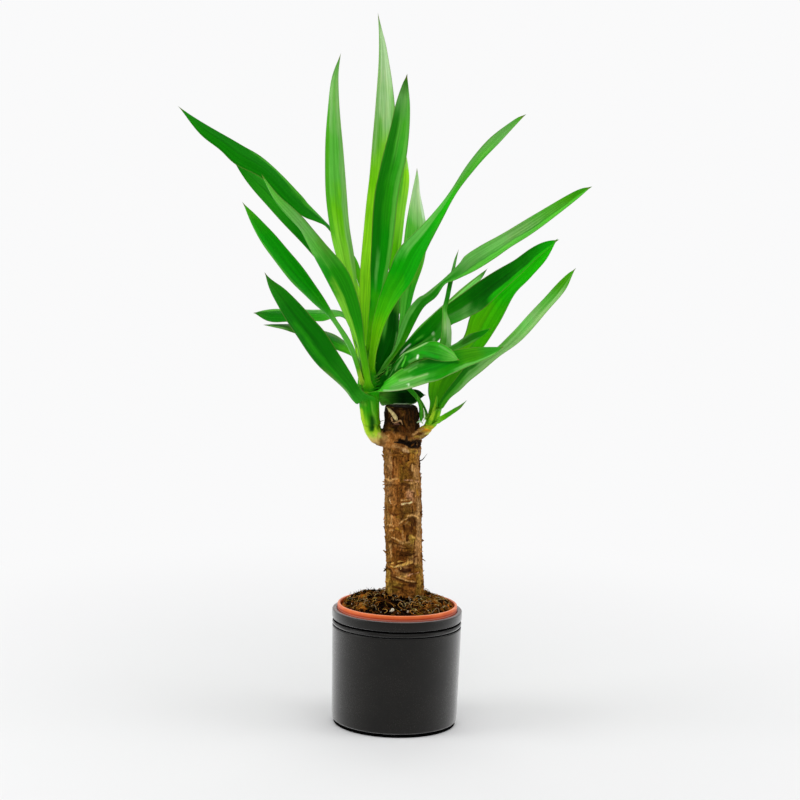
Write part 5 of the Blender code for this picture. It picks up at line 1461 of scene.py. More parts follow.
leaf_plan("leaf_14", "A", (372, -75), "fresh", (-7, -30, -46, -60, -70), 10, 0.14,
          [(367, 368), (370, 345), (373, 320), (380, 293), (390, 268), (400, 247), (425, 222), (450, 191), (470, 161), (490, 138), (515, 119), (525, 115)],
          [(374, 370), (378, 345), (387, 320), (400, 298), (413, 280), (430, 243), (445, 215), (460, 188), (480, 163), (500, 142), (515, 126), (525, 115)])
leaf_plan("leaf_15", "A", (377, 4), "mid", (6, 5, -2, -12, -20), 12, 0.14,
          [(376, 377), (383, 363), (393, 349), (400, 328), (408, 310), (418, 298), (425, 294), (440, 282), (452, 270.5), (460, 262), (465, 255.5), (480, 246), (500, 235), (530, 217), (560, 199), (580, 189), (591, 187)],
          [(380, 379), (388, 366), (400, 350), (406, 341), (415, 322), (424, 307), (436, 297), (445, 284), (456, 280), (475, 271), (495, 258), (510, 247.5), (530, 235), (555, 217), (575, 201), (591, 187)])
leaf_plan("leaf_16", "A", (383, 8), "dark", (6, 4, -13, -29, -44), 8, 0.14,
          [(380, 376), (388, 364), (404, 345), (420, 328), (438, 310), (448, 304), (465, 291.5), (475, 284), (487, 276), (500, 268), (515, 259.5), (530, 249), (541, 243), (550, 240.5), (558, 240)],
          [(384, 379), (392, 368), (410, 354), (420, 350), (430, 346), (438, 341), (444, 334), (451, 325.5), (460, 321), (480, 311), (490, 303), (500, 293.5), (518, 277), (535, 260), (548, 249), (558, 240)])
leaf_plan("leaf_17", "B", (410, 75), "fresh", (12, 24, 37, 48, 56), 8, 0.12,
          [(431, 405), (428, 391), (431, 374), (444, 358), (458, 345), (465, 334), (471, 314), (484, 296), (500, 286), (518, 271), (535, 253), (548, 243.5), (557, 239.5)],
          [(438, 405), (447, 393), (457, 378), (470, 362), (485, 345), (500, 322), (515, 294), (530, 278), (546, 260), (557, 239.5)])
leaf_plan("leaf_18", "A", (393, -40), "mid", (-5, -30, -60, -90, -116), 12, 0.12,
          [(379, 387), (384, 382), (390, 377), (397, 371.5), (405, 366.8), (415, 361.8), (425, 359), (440, 354), (460, 349), (480, 347), (503, 347)],
          [(380, 392), (390, 391.5), (403, 390), (418, 386), (428, 383), (440, 379.5), (460, 370), (480, 362), (492, 356), (503, 347)])
leaf_plan("leaf_19", "B", (411, -30), "mid", (-2, -20, -38, -52, -62), 12, 0.14,
          [(437, 408), (442, 398), (452, 384), (465, 367), (480, 357), (500, 345), (525, 318), (545, 297), (565, 276), (575, 269)],
          [(441, 411), (450, 398), (460, 390), (470, 381), (480, 373), (500, 356), (525, 337), (545, 314), (565, 290), (575, 269)])
leaf_plan("leaf_20", "A", (389, -30), "mid", (-4, -12, -58, -104, -128), 3, -0.16,
          [(382, 383), (387.5, 375.5), (392.5, 367), (397, 360), (402, 354.8), (408, 350.8), (414, 348), (420, 345.2), (427, 342.2), (434, 341), (442, 343.5), (452, 350.5), (459, 360)],
          [(384, 388), (391, 382), (398, 374), (405, 368), (411, 363.3), (418, 360), (426, 358.3), (436, 360.5), (446, 361.5), (453, 361), (459, 360)])
leaf_plan("leaf_21", "A", (381, -8), "mid", (2, -1, -9, -25, -18, 8, 18), 2, 0.12,
          [(382, 371), (391, 364), (400, 359), (410, 354), (424, 349), (437, 346), (441, 335), (442, 322), (442.5, 314), (442.3, 308), (445, 298), (447, 288), (449, 279), (452, 268), (454.5, 259), (458.5, 250)],
          [(385, 376), (394, 371), (404, 365), (414, 360.5), (436, 357), (449, 351), (451.5, 335), (450.3, 322), (447.5, 314), (447.2, 308), (449.5, 298), (451.5, 288), (453.5, 279), (455.2, 268), (456.8, 259), (458.5, 250)])
leaf_plan("leaf_22", "A", (386, -19), "dark", (-1, -6, -26, -52, -74), 2, 0.12,
          [(380, 376), (392, 368), (405, 361), (430, 352), (452, 345), (463, 338), (470, 334), (480, 331), (491, 328)],
          [(383, 386), (393, 380), (408, 371), (436, 362), (455, 351), (465, 346), (475, 341), (485, 334), (491, 328)])
leaf_plan("leaf_23", "B", (425, -30), "fresh", (-1, -12, -24, -34, -42), 4, 0.12,
          [(438, 417), (442, 415.2), (447, 412.4), (453, 408.8), (459, 405.6), (466, 401)],
          [(438, 424), (444, 420), (450, 416), (456, 411.8), (461, 407.6), (466, 401)])
leaf_plan("leaf_24", "A", (400, 40), "dark", (10, 17, 19, 20, 22), 4, 0.10,
          [(376, 393), (384, 391), (395, 389.8), (405, 389.3), (413, 389), (419, 390.5), (425, 395)],
          [(378.8, 412), (381.6, 407.2), (387, 404.8), (395, 404.3), (405, 404.3), (414, 403.8), (419.5, 399.5), (425, 395)])
leaf_plan("leaf_25", "B", (421, 160), "mid", (8, 9.5, 13, 19, 26), 2, 0.08,
          [(419.4, 423), (418.6, 416), (419.0, 410), (418.2, 403.5), (414.6, 398), (409, 392), (403, 385), (399, 376)],
          [(428, 423), (428.2, 415), (425.8, 408), (421.6, 400.5), (415.6, 392.4), (407, 383), (399, 376)])
leaf_plan("leaf_26", "A", (358, 92), "dark", (24, 78, 125, 165, 200), 6, -0.12,
          [(368, 345), (354, 300), (340, 262), (333, 232), (332, 210), (336, 192)],
          [(374, 345), (363, 300), (352, 262), (346, 232), (342, 210), (336, 192)])
leaf_plan("leaf_27", "A", (352, 70), "mid", (21, 62, 100, 145, 180), 4, -0.12,
          [(370, 335), (370, 290), (373, 245), (378, 205), (382, 180), (388, 155)],
          [(376, 335), (382, 290), (389, 245), (393, 205), (392, 180), (388, 155)])
leaf_plan("leaf_28", "A", (376, 84), "dark", (19, 72, 125, 170, 205), -6, -0.12,
          [(374, 360), (385, 318), (394, 285), (403, 258), (407, 238), (412, 218)],
          [(378, 362), (396, 322), (408, 292), (417, 262), (419, 240), (412, 218)])
leaf_plan("leaf_29", "A", (384, 64), "dark", (14, 64, 110, 155, 190), -8, -0.12,
          [(381, 370), (400, 348), (425, 321), (449, 299.5), (460, 290), (470, 281.5), (480, 274), (487, 269)],
          [(384, 376), (405, 356), (432, 331), (455, 308), (465, 297), (474, 287), (482, 278), (487, 269)])


# Leaf colours, as the display values they are to reach in the studio's light; the pale grey-greens (sage, reed, pale,
# ash, grey, mint), shine and white are painted sheen and reflections of the white studio, and the deepest greens are
# partly painted shade
HUES = {
    "ink": (0, 20, 0), "pine": (2, 46, 2), "night": (3, 68, 2), "deep": (3, 86, 1),
    "dark": (10, 106, 2), "bottle": (24, 118, 8), "green": (10, 132, 2), "leafy": (30, 135, 6),
    "emerald": (12, 150, 2), "kelly": (28, 173, 3), "jade": (46, 145, 26), "grass": (62, 148, 12),
    "clover": (64, 154, 32), "fern": (80, 164, 50), "apple": (64, 178, 6), "spring": (88, 172, 8),
    "fresh": (108, 192, 8), "lime": (128, 204, 26), "acid": (148, 224, 34), "leek": (116, 190, 42),
    "mint": (102, 184, 76), "sage": (92, 156, 70), "reed": (112, 168, 84), "pale": (134, 184, 104),
    "ash": (156, 192, 132), "grey": (174, 204, 162), "moss": (42, 104, 20), "olive": (74, 124, 34),
    "wheat": (156, 194, 44), "shine": (80, 186, 46), "white": (226, 246, 206),
}
HUES = {k: linear(c) * LEAF_GAIN for k, c in HUES.items()}

# leaf: colours from base to tip, then bands (from, to across -1..1, from, to
# along 0..1, colour, strength); the first edge is -1 and the second +1
# each leaf's stops and bands mix its own greens with painted light: pale bands are painted sheen, and darker halves and
# stops are partly painted shade where a fold or a leaf lies in shadow
LEAF_TONES_AND_LIGHT = {
    "leaf_01": ("fresh spring leafy dark dark dark dark bottle", [(-1.2, -0.7, 0.35, 0.7, "fern", 0.5), (-1.2, -0.3, 0.35, 0.5, "clover", 0.5)]),
    "leaf_02": ("grass dark deep dark dark bottle bottle dark", [(-1.2, -0.6, 0.7, 0.95, "jade", 0.4)]),
    "leaf_03": ("spring grass leafy leafy leafy fern sage fern fern",
                [(0.0, 1.2, 0.0, 0.12, "fresh", 0.6), (0.12, 1.2, 0.12, 0.42, "leek", 0.85),
                 (0.25, 1.2, 0.47, 0.60, "green", 0.85), (-1.2, -0.4, 0.56, 0.64, "olive", 0.6),
                 (0.6, 1.2, 0.80, 0.90, "leafy", 0.7)]),
    "leaf_04": ("leek lime lime leek leek spring fern fern reed reed moss",
                [(-1.2, -0.5, 0.38, 0.84, "grass", 0.9), (0.55, 1.2, 0.28, 0.95, "reed", 0.8),
                 (0.1, 0.45, 0.38, 0.52, "spring", 0.7), (-0.1, 0.3, 0.55, 0.95, "fern", 0.6),
                 (-1.2, 0.1, 0.95, 1.1, "moss", 0.9)]),
    "leaf_05": ("wheat grass fern fern leafy green green green green leafy grass",
                [(0.7, 1.2, 0.4, 0.95, "fern", 0.6), (0.5, 1.2, 0.0, 0.08, "olive", 0.6)]),
    "leaf_06": ("jade bottle bottle dark dark dark dark bottle moss",
                [(0.15, 0.65, 0.2, 0.62, "leafy", 0.7), (0.7, 1.2, 0.10, 0.21, "reed", 0.8),
                 (0.6, 1.2, 0.21, 0.30, "olive", 0.7)]),
    "leaf_07": ("grass fern fern clover leafy dark dark moss",
                [(-1.2, -0.6, 0.3, 1.0, "fern", 0.8), (0.0, 1.2, 0.45, 0.7, "leafy", 0.6)]),
    "leaf_08": ("spring grass dark dark moss moss moss",
                [(-1.2, -0.5, 0.2, 0.5, "olive", 0.7), (0.5, 1.2, 0.78, 1.0, "reed", 0.7)]),
    "leaf_09": ("acid acid lime fresh dark", []),
    "leaf_10": ("lime lime lime acid lime fresh leek pale ash ash olive",
                [(-1.2, -0.6, 0.6, 1.0, "reed", 0.75), (-0.6, -0.2, 0.6, 0.7, "grass", 0.7),
                 (0.6, 1.2, 0.60, 0.72, "clover", 0.7)]),
    "leaf_11": ("fresh apple emerald green green leafy leafy jade clover sage moss",
                [(-1.2, -0.3, 0.2, 0.88, "dark", 0.8), (0.6, 1.2, 0.2, 0.92, "fern", 0.8),
                 (-0.15, 0.1, 0.68, 0.9, "fern", 0.6), (-0.55, -0.2, 0.19, 0.29, "mint", 0.6)]),
    "leaf_12": ("deep deep deep night grass apple spring leek leek lime pale",
                [(-1.2, -0.5, 0.2, 0.3, "fern", 0.8), (0.5, 1.2, 0.3, 0.42, "moss", 0.7),
                 (-1.2, -0.35, 0.8, 0.97, "fern", 0.7)]),
    "leaf_13": ("green leafy leafy leafy leafy grass clover fern pale ash pale",
                [(-1.2, -0.1, 0.2, 0.42, "fern", 0.55), (-1.2, -0.5, 0.70, 0.78, "emerald", 0.6), (0.6, 1.2, 0.74, 0.97, "grey", 0.7)]),
    "leaf_14": ("fresh fresh apple emerald emerald emerald kelly clover fern sage grass",
                [(-1.2, -0.25, 0.41, 0.62, "mint", 0.75), (-1.2, -0.45, 0.62, 0.97, "sage", 0.7),
                 (0.6, 1.2, 0.5, 0.8, "jade", 0.6)]),
    "leaf_15": ("fern grass leafy bottle leafy sage mint reed fern grass leafy",
                [(-1.2, -0.3, 0.04, 0.27, "mint", 0.8), (-1.2, -0.5, 0.30, 0.40, "reed", 0.6),
                 (0.35, 1.2, 0.42, 1.0, "shine", 0.75), (0.18, 0.36, 0.45, 0.9, "dark", 0.6)]),
    "leaf_16": ("jade bottle green green leafy dark deep deep dark green emerald",
                [(0.2, 1.2, 0.24, 0.40, "jade", 0.7), (-0.1, 1.2, 0.40, 0.50, "sage", 0.8), (0.55, 1.2, 0.62, 1.0, "kelly", 0.8)]),
    "leaf_17": ("grass grass grass apple apple kelly kelly kelly kelly",
                [(-0.2, 0.2, 0.28, 0.38, "fern", 0.5), (-1.2, -0.8, 0.3, 0.48, "olive", 0.8), (-1.2, 0.0, 0.10, 0.50, "spring", 0.75)]),
    "leaf_18": ("kelly shine clover jade leafy leafy grass jade jade",
                [(0.20, 0.60, 0.10, 0.38, "mint", 0.75), (0.65, 1.2, 0.60, 0.96, "mint", 0.8), (0.75, 1.2, 0.12, 0.40, "pale", 0.6),
                 (-0.75, 0.15, 0.24, 0.56, "green", 0.8), (-1.2, -0.4, 0.42, 0.5, "night", 0.8), (-1.2, -0.5, 0.2, 0.38, "fern", 0.4)]),
    "leaf_19": ("grass clover fern reed reed reed mint reed fern grass grass",
                [(-1.2, -0.3, 0.0, 0.3, "dark", 0.85), (0.3, 1.2, 0.12, 0.92, "pale", 0.7),
                 (-1.2, -0.5, 0.42, 0.56, "grass", 0.6)]),
    "leaf_20": ("deep deep dark dark leafy leafy leafy leafy jade fern fern",
                [(-1.2, -0.75, 0.28, 0.60, "sage", 0.9), (0.2, 1.2, 0.6, 0.79, "bottle", 0.7),
                 (-0.6, 0.1, 0.3, 0.62, "dark", 0.5), (-0.35, -0.05, 0.12, 0.32, "sage", 0.75),
                 (0.35, 0.55, 0.18, 0.33, "fern", 0.65)]),
    "leaf_21": ("deep deep bottle leafy fern pale fern bottle bottle sage olive",
                [(-1.2, -0.6, 0.38, 0.56, "clover", 0.6), (0.0, 1.2, 0.40, 0.60, "ash", 0.6)]),
    "leaf_22": ("deep deep dark bottle moss clover moss bottle green",
                [(0.6, 1.2, 0.6, 0.88, "fern", 0.8), (-1.2, -0.6, 0.6, 0.8, "sage", 0.6)]),
    "leaf_23": ("leek spring grass grass grass olive olive sage", []),
    "leaf_24": ("fern olive moss pine ink pine pine night", [(-1.2, -0.6, 0.3, 0.75, "night", 0.8), (-0.6, 0.9, 0.55, 0.8, "pine", 0.8),
                 (0.75, 1.2, 0.0, 0.22, "sage", 0.7), (-0.4, 0.5, 0.05, 0.20, "clover", 0.5)]),
    "leaf_25": ("fern fern clover clover jade leafy bottle",
                [(0.12, 0.30, 0.03, 0.22, "white", 0.95), (0.36, 1.2, 0.02, 0.30, "moss", 0.7), (-1.2, -0.75, 0.0, 0.22, "ash", 0.55),
                 (-1.2, 0.2, -0.1, 0.03, "ash", 0.85)]),
    "leaf_26": ("acid acid lime fresh leafy dark dark", []),
    "leaf_27": ("fresh grass green dark dark", []),
    "leaf_28": ("kelly kelly leafy jade fern jade dark", []),
    "leaf_29": ("deep bottle leafy clover sage mint mint moss", [(-1.2, -0.6, 0.6, 1.1, "olive", 0.8)]),
}


# streaks, painted highlights and painted shade where the leaves crowd together: points on the elevation, half width,
# colour, strength
STREAKS_AND_PAINTED_LIGHT = {
    "leaf_18": [([(381, 391), (388, 385.4), (395, 380)], 2.8, "shine", 0.80), ([(398, 374), (408, 369)], 4.0, "clover", 0.60),
                ([(419, 371), (431, 366.4), (446, 363.4)], 4.6, "green", 0.75), ([(394, 387), (403, 381.4), (411, 378.4)], 3.0, "mint", 0.75),
                ([(392, 388.4), (403, 386), (414, 382.8), (425, 380.6)], 2.6, "sage", 0.60), ([(400, 380.6), (410, 379), (420, 376.4), (428, 374)], 1.2, "pale", 0.85),
                ([(384, 390.8), (394, 390.9), (404, 389.2), (412, 387.0)], 0.9, "ash", 0.85), ([(408.2, 384.2), (409.2, 385.2)], 1.0, "white", 0.75),
                ([(405, 369.6), (412, 366.2), (420, 361.6)], 1.3, "sage", 0.75), ([(409, 371.4), (417, 367)], 0.9, "mint", 0.65),
                ([(420, 362.2), (431, 361), (445, 362.6), (458, 362.4)], 1.7, "deep", 0.75), ([(426, 380.6), (440, 376.6), (452, 371)], 1.2, "green", 0.55),
                ([(430, 383.0), (441, 379.2), (458, 371)], 0.8, "pale", 0.60)],
    "leaf_20": [([(397, 370), (403, 363.6), (410, 357.4)], 5.0, "deep", 0.75), ([(408, 359.4), (411.4, 355.4)], 2.3, "green", 0.80),
                ([(414, 352.4), (421, 350), (426, 347)], 3.0, "jade", 0.55), ([(410, 361.6), (416, 358.4)], 1.8, "sage", 0.55),
                ([(422, 352), (430, 354.4), (438, 357)], 1.9, "emerald", 0.85), ([(426, 346.4), (434, 348)], 2.6, "bottle", 0.50),
                ([(395.6, 369.6), (398.6, 364.6), (402.6, 358.6), (404.2, 355)], 0.95, "sage", 0.95), ([(402.4, 366), (404.4, 362), (406.4, 356.6)], 0.85, "shine", 0.95),
                ([(400.4, 356.4), (404, 353), (409, 351.6), (414, 349.6), (420, 346.6), (427, 343)], 0.95, "pale", 0.90),
                ([(418.4, 355.4), (417.6, 358.0)], 1.05, "white", 0.80), ([(424, 357.6), (432, 358.6), (440, 360.4)], 0.8, "deep", 0.80),
                ([(440, 346), (448, 351), (455, 358)], 1.1, "sage", 0.55)],
    "leaf_22": [([(386.4, 374.4), (388, 368), (388.6, 362.6)], 1.1, "shine", 0.75), ([(390.4, 373.4), (390.6, 363.6)], 0.7, "fern", 0.85)],
    "leaf_21": [([(386.4, 374.4), (388, 368), (388.6, 362.6)], 1.1, "shine", 0.75), ([(390.4, 373.4), (390.6, 363.6)], 0.7, "fern", 0.85)],
    "leaf_16": [([(386.4, 374.4), (388, 368), (388.6, 362.6)], 1.1, "shine", 0.75), ([(390.4, 373.4), (390.6, 363.6)], 0.7, "fern", 0.85),
                ([(406, 351.6), (414, 346), (422, 341.4)], 1.6, "night", 0.70), ([(408, 350.8), (420, 344.4), (434, 334.6)], 1.1, "fern", 0.75),
                ([(401.4, 353.4), (405, 349), (409.6, 345)], 0.95, "white", 0.90), ([(416.4, 340), (423.4, 335.6)], 1.1, "shine", 0.80),
                ([(433.4, 333.2), (433.8, 334.0)], 0.9, "white", 0.75), ([(434, 334), (434.4, 341)], 0.8, "pale", 0.65)],
    "leaf_24": [([(386, 405), (391, 404.4), (396, 404.2)], 0.7, "sage", 0.75), ([(394, 404.3), (401, 404.2), (409, 404.2)], 0.75, "white", 0.90),
                ([(408, 404.2), (414, 403.9), (418, 401)], 0.7, "sage", 0.75), ([(379, 396), (384, 399), (388, 401)], 1.4, "clover", 0.55)],
    "leaf_12": [([(396.4, 334), (394.4, 346), (391.4, 355)], 1.0, "sage", 0.60)],
}


def leaf_tint(name, s, t, jitter):
    """The colour at places s across (-1..1) and t along (0..1) a leaf."""
    stops, bands = LEAF_TONES_AND_LIGHT[name]
    stops = np.array([HUES[k] for k in stops.split()])
    x = np.clip(t + jitter * 0.05, 0, 1) * (len(stops) - 1)
    i = np.minimum(x.astype(int), len(stops) - 2)
    f = (x - i)[:, None]
    c = stops[i] * (1 - f) + stops[i + 1] * f
    for s0, s1, t0, t1, hue, share in bands:
        ss = s + 0.10 * jitter
        tt = t + 0.06 * jitter
        edge = 0.09
        m = smooth(ss, s0 - edge, s0 + edge) * (1 - smooth(ss, s1 - edge, s1 + edge))
        m = m * smooth(tt, t0 - 0.06, t0 + 0.06) * (1 - smooth(tt, t1 - 0.06, t1 + 0.06))
        c = layer(c, HUES[hue], m * share)
    # the fold of the midrib, painted darker as shade in the crease, and the brown spine at the tip
    c = layer(c, c * 0.72, np.exp(-(s / 0.07) ** 2) * 0.6)
    c = layer(c, linear((110, 104, 44)), smooth(t, 0.975, 0.995) * 0.8)
    return c


LEAF_THICK = 0.0011
ALONG, ACROSS = 90, 27
# leaf: how far its sheath runs down the shoot, and how far round it each way,
# at its foot and at its top
SHEATHS = {"leaf_06": (26, 118, 100), "leaf_18": (20, 95, 70), "leaf_08": (20, 110, 70),
           "leaf_17": (13, 105, 85), "leaf_19": (10, 100, 75), "leaf_23": (6, 80, 55),
           "leaf_25": (5, 60, 40), "leaf_24": (12, 90, 60)}


def fine_leaf(name, finish):
    shoot, (v, azimuth), colour, depths, turn, fold, first, second = LEAVES[name]
    n = ALONG
    seed = int(name[-2:])
    edge = [through([Vector((u, w, 0)) for u, w in side], n) for side in (first, second)]
    axis, radius, out = on_shoot(shoot, v, azimuth)
    stations = []
    for i in range(n + 1):
        t = i / n
        depth = blend(depths, t)
        body = math.sin(math.pi * min(1.0, 0.15 + 0.85 * t)) ** 0.6
        lean = turn * body
        a, b = edge[0][i], edge[1][i]
        pa, pb = sight(a.x, a.y, depth + lean / 2), sight(b.x, b.y, depth - lean / 2)
        stations.append([(pa + pb) / 2, (pb - pa) / 2, t])
    start = axis + out * (radius + 0.0012)
    keep = 0
    while (stations[keep][0] - start).length < 0.0085:
        keep += 1
    stations = stations[keep:]
    S = np.linspace(-1, 1, ACROSS)
    # soft channel: highest at the middle, with a slight crease at the midrib
    channel = 1 - (np.sqrt(S ** 2 + 0.012) ** 1.5) / (1.012 ** 0.75)
    mids = np.array([tuple(m) for m, h, t in stations])
    halves = np.array([tuple(h) for m, h, t in stations])
    T = np.array([t for m, h, t in stations])
    runs = np.gradient(mids, axis=0)
    runs /= np.linalg.norm(runs, axis=1, keepdims=True)
    normals = np.cross(runs, halves)
    normals /= np.maximum(np.linalg.norm(normals, axis=1, keepdims=True), 1e-12)
    normals[-1] = normals[-2]                # the tip itself has no width
    for _ in range(3):                       # even out the turning of the blade
        normals[1:-1] = (normals[:-2] + 2 * normals[1:-1] + normals[2:]) / 4
        normals /= np.linalg.norm(normals, axis=1, keepdims=True)
    wide = np.linalg.norm(halves, axis=1)
    wave = (0.00045 * np.sin(2 * math.pi * (T * 2.6 + seed * 0.37)) + 0.0003 * np.sin(2 * math.pi * (T * 5.3 + seed * 0.61)))
    blade = (mids[:, None, :] + halves[:, None, :] * S[None, :, None]
             + normals[:, None, :] * (fold * 2 * wide[:, None] * channel[None, :]
                                      + (wave * smooth(wide, 0.001, 0.006))[:, None] * (S[None, :] ** 3))[:, :, None])
    # the base: a sheath round the shoot, sunk into it at its foot and opening
    # into the blade; a leaf that starts lower down lies outside the next one
    drop, grip_foot, grip_top = SHEATHS.get(name, (15, 100, 62))
    tangent = Vector((-out.y, out.x, 0.0))
    sign = 1.0 if tangent.dot(Vector(halves[0])) >= 0 else -1.0
    base = []
    for k in range(9):
        f = k / 8
        here, r, _ = on_shoot(shoot, v + drop * (1 - f), azimuth)
        grip = math.radians(grip_foot + (grip_top - grip_foot) * f ** 1.5)
        r += -0.0004 + 0.0021 * f * min(drop, 16) / 15
        row = []
        for s in S:
            a = math.radians(azimuth) + sign * s * grip
            row.append((here.x + r * math.cos(a), here.y + r * math.sin(a),
                        here.z + 0.004 * (1 - f) * (s * s)))
        base.append(row)
    base = np.array(base)
    gap = np.linalg.norm(blade[0] - base[-1], axis=1)
    reach = float(gap.mean())
    enter = blade[2] - blade[0]
    enter /= np.maximum(np.linalg.norm(enter, axis=1, keepdims=True), 1e-9)
    leave = np.array([0.0, 0.0, 1.0]) * 0.8 + np.array(tuple(out)) * 0.35
    neck_rows = max(5, int(reach / 0.0022))
    neck = []
    for k in range(1, neck_rows):
        f = k / neck_rows
        h00, h10 = 2 * f ** 3 - 3 * f ** 2 + 1, f ** 3 - 2 * f ** 2 + f
        h01, h11 = -2 * f ** 3 + 3 * f ** 2, f ** 3 - f ** 2
        neck.append(h00 * base[-1] + h10 * leave * reach + h01 * blade[0] + h11 * enter * reach)
    rows = np.concatenate([base, np.array(neck), blade[:-1]], axis=0)
    lead = len(base) + len(neck)
    t_all = np.concatenate([np.linspace(max(T[0] - 0.06, -0.03), T[0], lead, endpoint=False), T[:-1]])
    # thickness along the skin's own normal
    du = np.gradient(rows, axis=1)
    dv = np.gradient(rows, axis=0)
    skin = np.cross(dv, du)
    skin /= np.maximum(np.linalg.norm(skin, axis=2, keepdims=True), 1e-12)
    body = 0.00022 + 0.00045 * (1 - S ** 2)[None, :] * np.ones((len(rows), 1))
    body *= (0.55 + 0.45 * (1 - smooth(t_all, 0.75, 1.0)))[:, None]
    body *= (1.0 + 0.7 * (1 - smooth(t_all, 0.0, 0.14)))[:, None]
    body[:, 0] = body[:, -1] = 0.00012
    top, under = rows + skin * body[:, :, None], rows - skin * body[:, :, None]
    R, C = len(rows), ACROSS
    tip = Vector(mids[-1]) + Vector(runs[-1]) * 0.0016
    pts = np.concatenate([top.reshape(-1, 3), under.reshape(-1, 3), np.array([tuple(tip)])])
    back = R * C
    faces = []
    for i in range(R - 1):
        for j in range(C - 1):
            a = i * C + j
            faces.append((a, a + 1, a + C + 1, a + C))
            faces.append((back + a + 1, back + a, back + a + C, back + a + C + 1))
        a = i * C
        faces.append((a, a + C, back + a + C, back + a))
        a = i * C + C - 1
        faces.append((a + C, a, back + a, back + a + C))
    end = len(pts) - 1
    a = (R - 1) * C
    for j in range(C - 1):
        faces.append((j + 1, j, back + j, back + j + 1))
        faces.append((a + j, a + j + 1, end))
        faces.append((back + a + j + 1, back + a + j, end))
    faces.append((back + a, a, end))
    faces.append((a + C - 1, back + a + C - 1, end))
    s_all = np.tile(S, R)
    t_flat = np.repeat(t_all, C)
    jitter = rough(top.reshape(-1, 3) * np.array([1, 1, 0.6]), 60.0, 3, seed)
    c = leaf_tint(name, s_all, np.clip(t_flat, 0, 1), jitter)
    foot = np.repeat(np.clip(np.arange(R) / max(lead, 1), 0, 2), C)
    c = c + (sap_tint(rows.reshape(-1, 3), shoot) - c) * (1 - smooth(foot, 0.45, 1.05))[:, None]
    # streaks, painted highlights and painted shade drawn over the leaf's tint
    if name in STREAKS_AND_PAINTED_LIGHT:
        gu, gv = drawn(rows.reshape(-1, 3))
        for line, half, hue, share in STREAKS_AND_PAINTED_LIGHT[name]:
            d = stroke(gu, gv, line) / (half * (1 + 0.25 * jitter))
            c = layer(c, HUES[hue], (1 - smooth(d, 0.35, 1.3)) * share)
    c = np.vstack([c, c, c[-1:]])
    length = float(np.linalg.norm(np.diff(mids, axis=0), axis=1).sum()) * 1000
    widest = float(wide.max()) * 1000
    grain = np.stack([s_all * widest, t_flat * length, np.full(len(s_all), seed * 13.0)], 1)
    grain = np.vstack([grain, grain + np.array([0, 0, 5.0]), [[0, length, seed * 13.0]]])
    uv = np.stack([(s_all + 1) / 2, np.clip(t_flat, 0, 1)], 1)
    uv = np.vstack([uv, uv, [[0.5, 1.0]]])
    mesh = plain_mesh(name + "_blade", pts, faces, tint=c, grain=grain, uv=uv)
    piece(name + "_blade", mesh, finish, (name,))


FINISH = {"dark": leaf_finish("leaf_dark", 0.40), "mid": leaf_finish("leaf_mid", 0.38),
          "fresh": leaf_finish("leaf_fresh", 0.36)}
for leaf_name in LEAVES:
    fine_leaf(leaf_name, FINISH[LEAVES[leaf_name][2]])


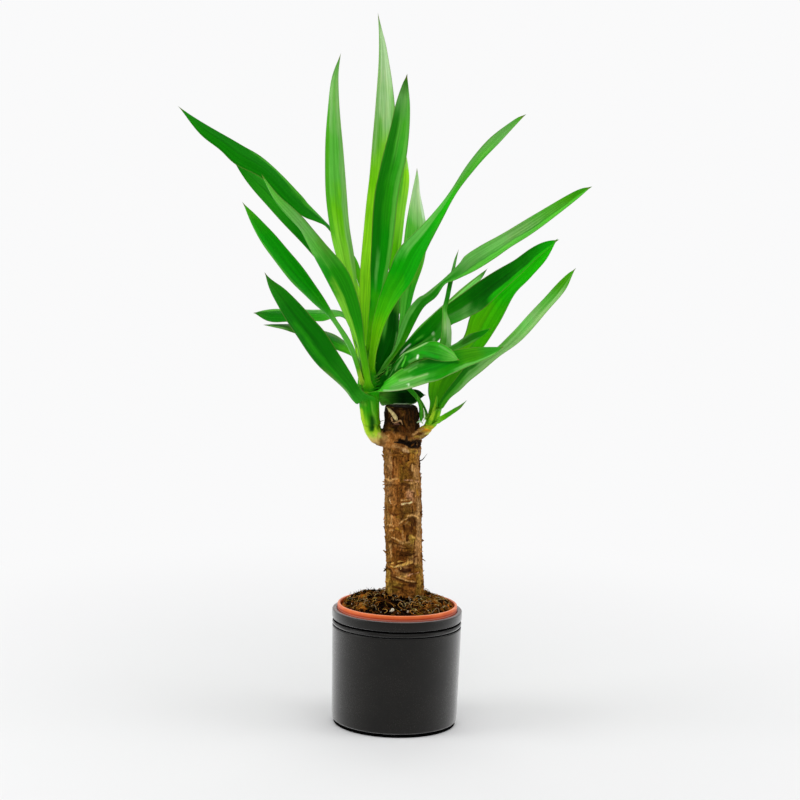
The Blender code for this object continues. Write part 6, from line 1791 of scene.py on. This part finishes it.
# ------------------------------------------------------------- the dried bract
def bract():
    """A papery bract curled on the cane's blackened top, with the scale that
    held it."""
    f = Finish("dried_husk")
    tint, place = f.attribute("tint"), f.place()
    rib = f.noise(f.scaled(place, (1500, 900, 500)), 1.0, 3.0, 0.6)
    c = f.mix(f.fit(rib, 0.60, 0.36, 0.0, 0.5), tint, f.mix(1.0, tint, (0.50, 0.44, 0.36), "MULTIPLY"))
    f.set(Base_Color=c, Roughness=0.75)
    f.set(Normal=f.bump(rib, 0.6, 0.0004))
    heap = Heap()

    def curl(points, widths, tint, lift, seed):
        """A ribbon through drawing points, arched across its width."""
        line = through([on_cane(u, v, lift)[0] for u, v in points], 26)
        outs = [on_cane(*[float(x[0]) for x in drawn([tuple(p)])])[1] for p in line]
        m, pts = 9, []
        for face in (0, 1):
            for i, p in enumerate(line):
                along = (line[min(i + 1, 26)] - line[max(i - 1, 0)]).normalized()
                side = along.cross(outs[i]).normalized()
                w = blend(widths, i / 26)
                for j in range(m):
                    s = j / (m - 1) * 2 - 1
                    crest = w * 0.42 * (1 - s * s) + 0.0003 * math.sin(5 * s + i * 0.4 + seed)
                    q = p + side * (w * s) + outs[i] * (crest - 0.0003 * face)
                    pts.append(tuple(q))
        faces = []
        for i in range(26):
            for j in range(m - 1):
                a = i * m + j
                faces.append((a, a + 1, a + m + 1, a + m))
                b = a + 27 * m
                faces.append((b + 1, b, b + m, b + m + 1))
        back = 27 * m
        for i in range(26):
            a = i * m
            faces.append((a, a + m, back + a + m, back + a))
            a = i * m + m - 1
            faces.append((a + m, a, back + a, back + a + m))
        for j in range(m - 1):
            faces.append((j + 1, j, back + j, back + j + 1))
            a = 26 * m + j
            faces.append((a, a + 1, back + a + 1, back + a))
        shades = []
        for k in range(len(pts)):
            i, j = divmod(k % back, m)
            shades.append(tint * (0.72 + 0.42 * math.sin(math.pi * j / (m - 1)) + 0.14 * math.sin(i * 0.9 + seed)))
        heap.add(pts, faces, np.array(shades))

    curl([(387.3, 407.5), (390, 410.2), (393, 413.6), (395.6, 417.5), (397.0, 420.8)], [0.0004, 0.0016, 0.0022, 0.0024, 0.0012],
         linear((196, 176, 118)), 0.0006, 1)
    curl([(391.6, 417), (392.6, 420.6), (395, 422.6), (398, 421.6), (400.6, 420.6), (402.4, 424.5)], [0.0006, 0.0011, 0.0012, 0.0010, 0.0009, 0.0004],
         linear((172, 132, 84)), 0.0005, 2)
    curl([(394, 424.6), (397, 423.6), (400, 424.8)], [0.0005, 0.0011, 0.0004], linear((92, 50, 26)), 0.0006, 3)
    piece("dried_bract_curl", heap.mesh("dried_bract_curl"), f.mat, ("dried_bract",))


def torn_strip():
    """The torn inner half of the small leaf beside the cane's top."""
    heap = Heap()
    for points, widths, depths, hue, edge in (
            ([(416.6, 397), (419.8, 403.4), (421.6, 410), (421.4, 417), (420.4, 422.4)], [1.0, 1.7, 2.2, 2.1, 1.0], (9, 2), "clover", "olive"),
            # the second, white ribbon is a painted highlight along the strip's edge
            ([(423.2, 408), (424.3, 412), (424.5, 417), (423.6, 421.4)], [0.3, 0.75, 0.8, 0.4], (3, 0), "white", "ash"),
            ([(416.8, 422.8), (419.2, 421.4), (421.6, 422.0), (423, 423.6)], [0.5, 0.9, 0.8, 0.5], (0, -1), "grey", "ash")):
        n, m = 30, 9
        line = through([Vector((u, v, 0)) for u, v in points], n)
        pts, shade = [], []
        for face in (0, 1):
            for i, p in enumerate(line):
                t = i / n
                a, b = line[max(i - 1, 0)], line[min(i + 1, n)]
                way = Vector((b.y - a.y, a.x - b.x, 0)).normalized() * blend(widths, t)
                for j in range(m):
                    s = j / (m - 1) * 2 - 1
                    depth = depths[0] + (depths[1] - depths[0]) * t + 0.8 * s * s + face * (0.5 if 0 < j < m - 1 else 0.2)
                    pts.append(tuple(sight(p.x + way.x * s, p.y + way.y * s, depth)))
                    shade.append(HUES[hue] * (1 - 0.25 * s * s) if s < 0.5 else HUES[edge])
        faces = []
        for i in range(n):
            for j in range(m - 1):
                a = i * m + j
                faces.append((a, a + 1, a + m + 1, a + m))
                b = a + (n + 1) * m
                faces.append((b + 1, b, b + m, b + m + 1))
        back = (n + 1) * m
        for i in range(n):
            a = i * m
            faces.append((a, a + m, back + a + m, back + a))
            a = i * m + m - 1
            faces.append((a + m, a, back + a, back + a + m))
        for j in range(m - 1):
            faces.append((j + 1, j, back + j, back + j + 1))
            a = n * m + j
            faces.append((a, a + 1, back + a + 1, back + a))
        heap.add(pts, faces, np.array(shade))
    piece("leaf_25_torn_strip", heap.mesh("leaf_25_torn_strip"), SHEATH)


torn_strip()


bract()
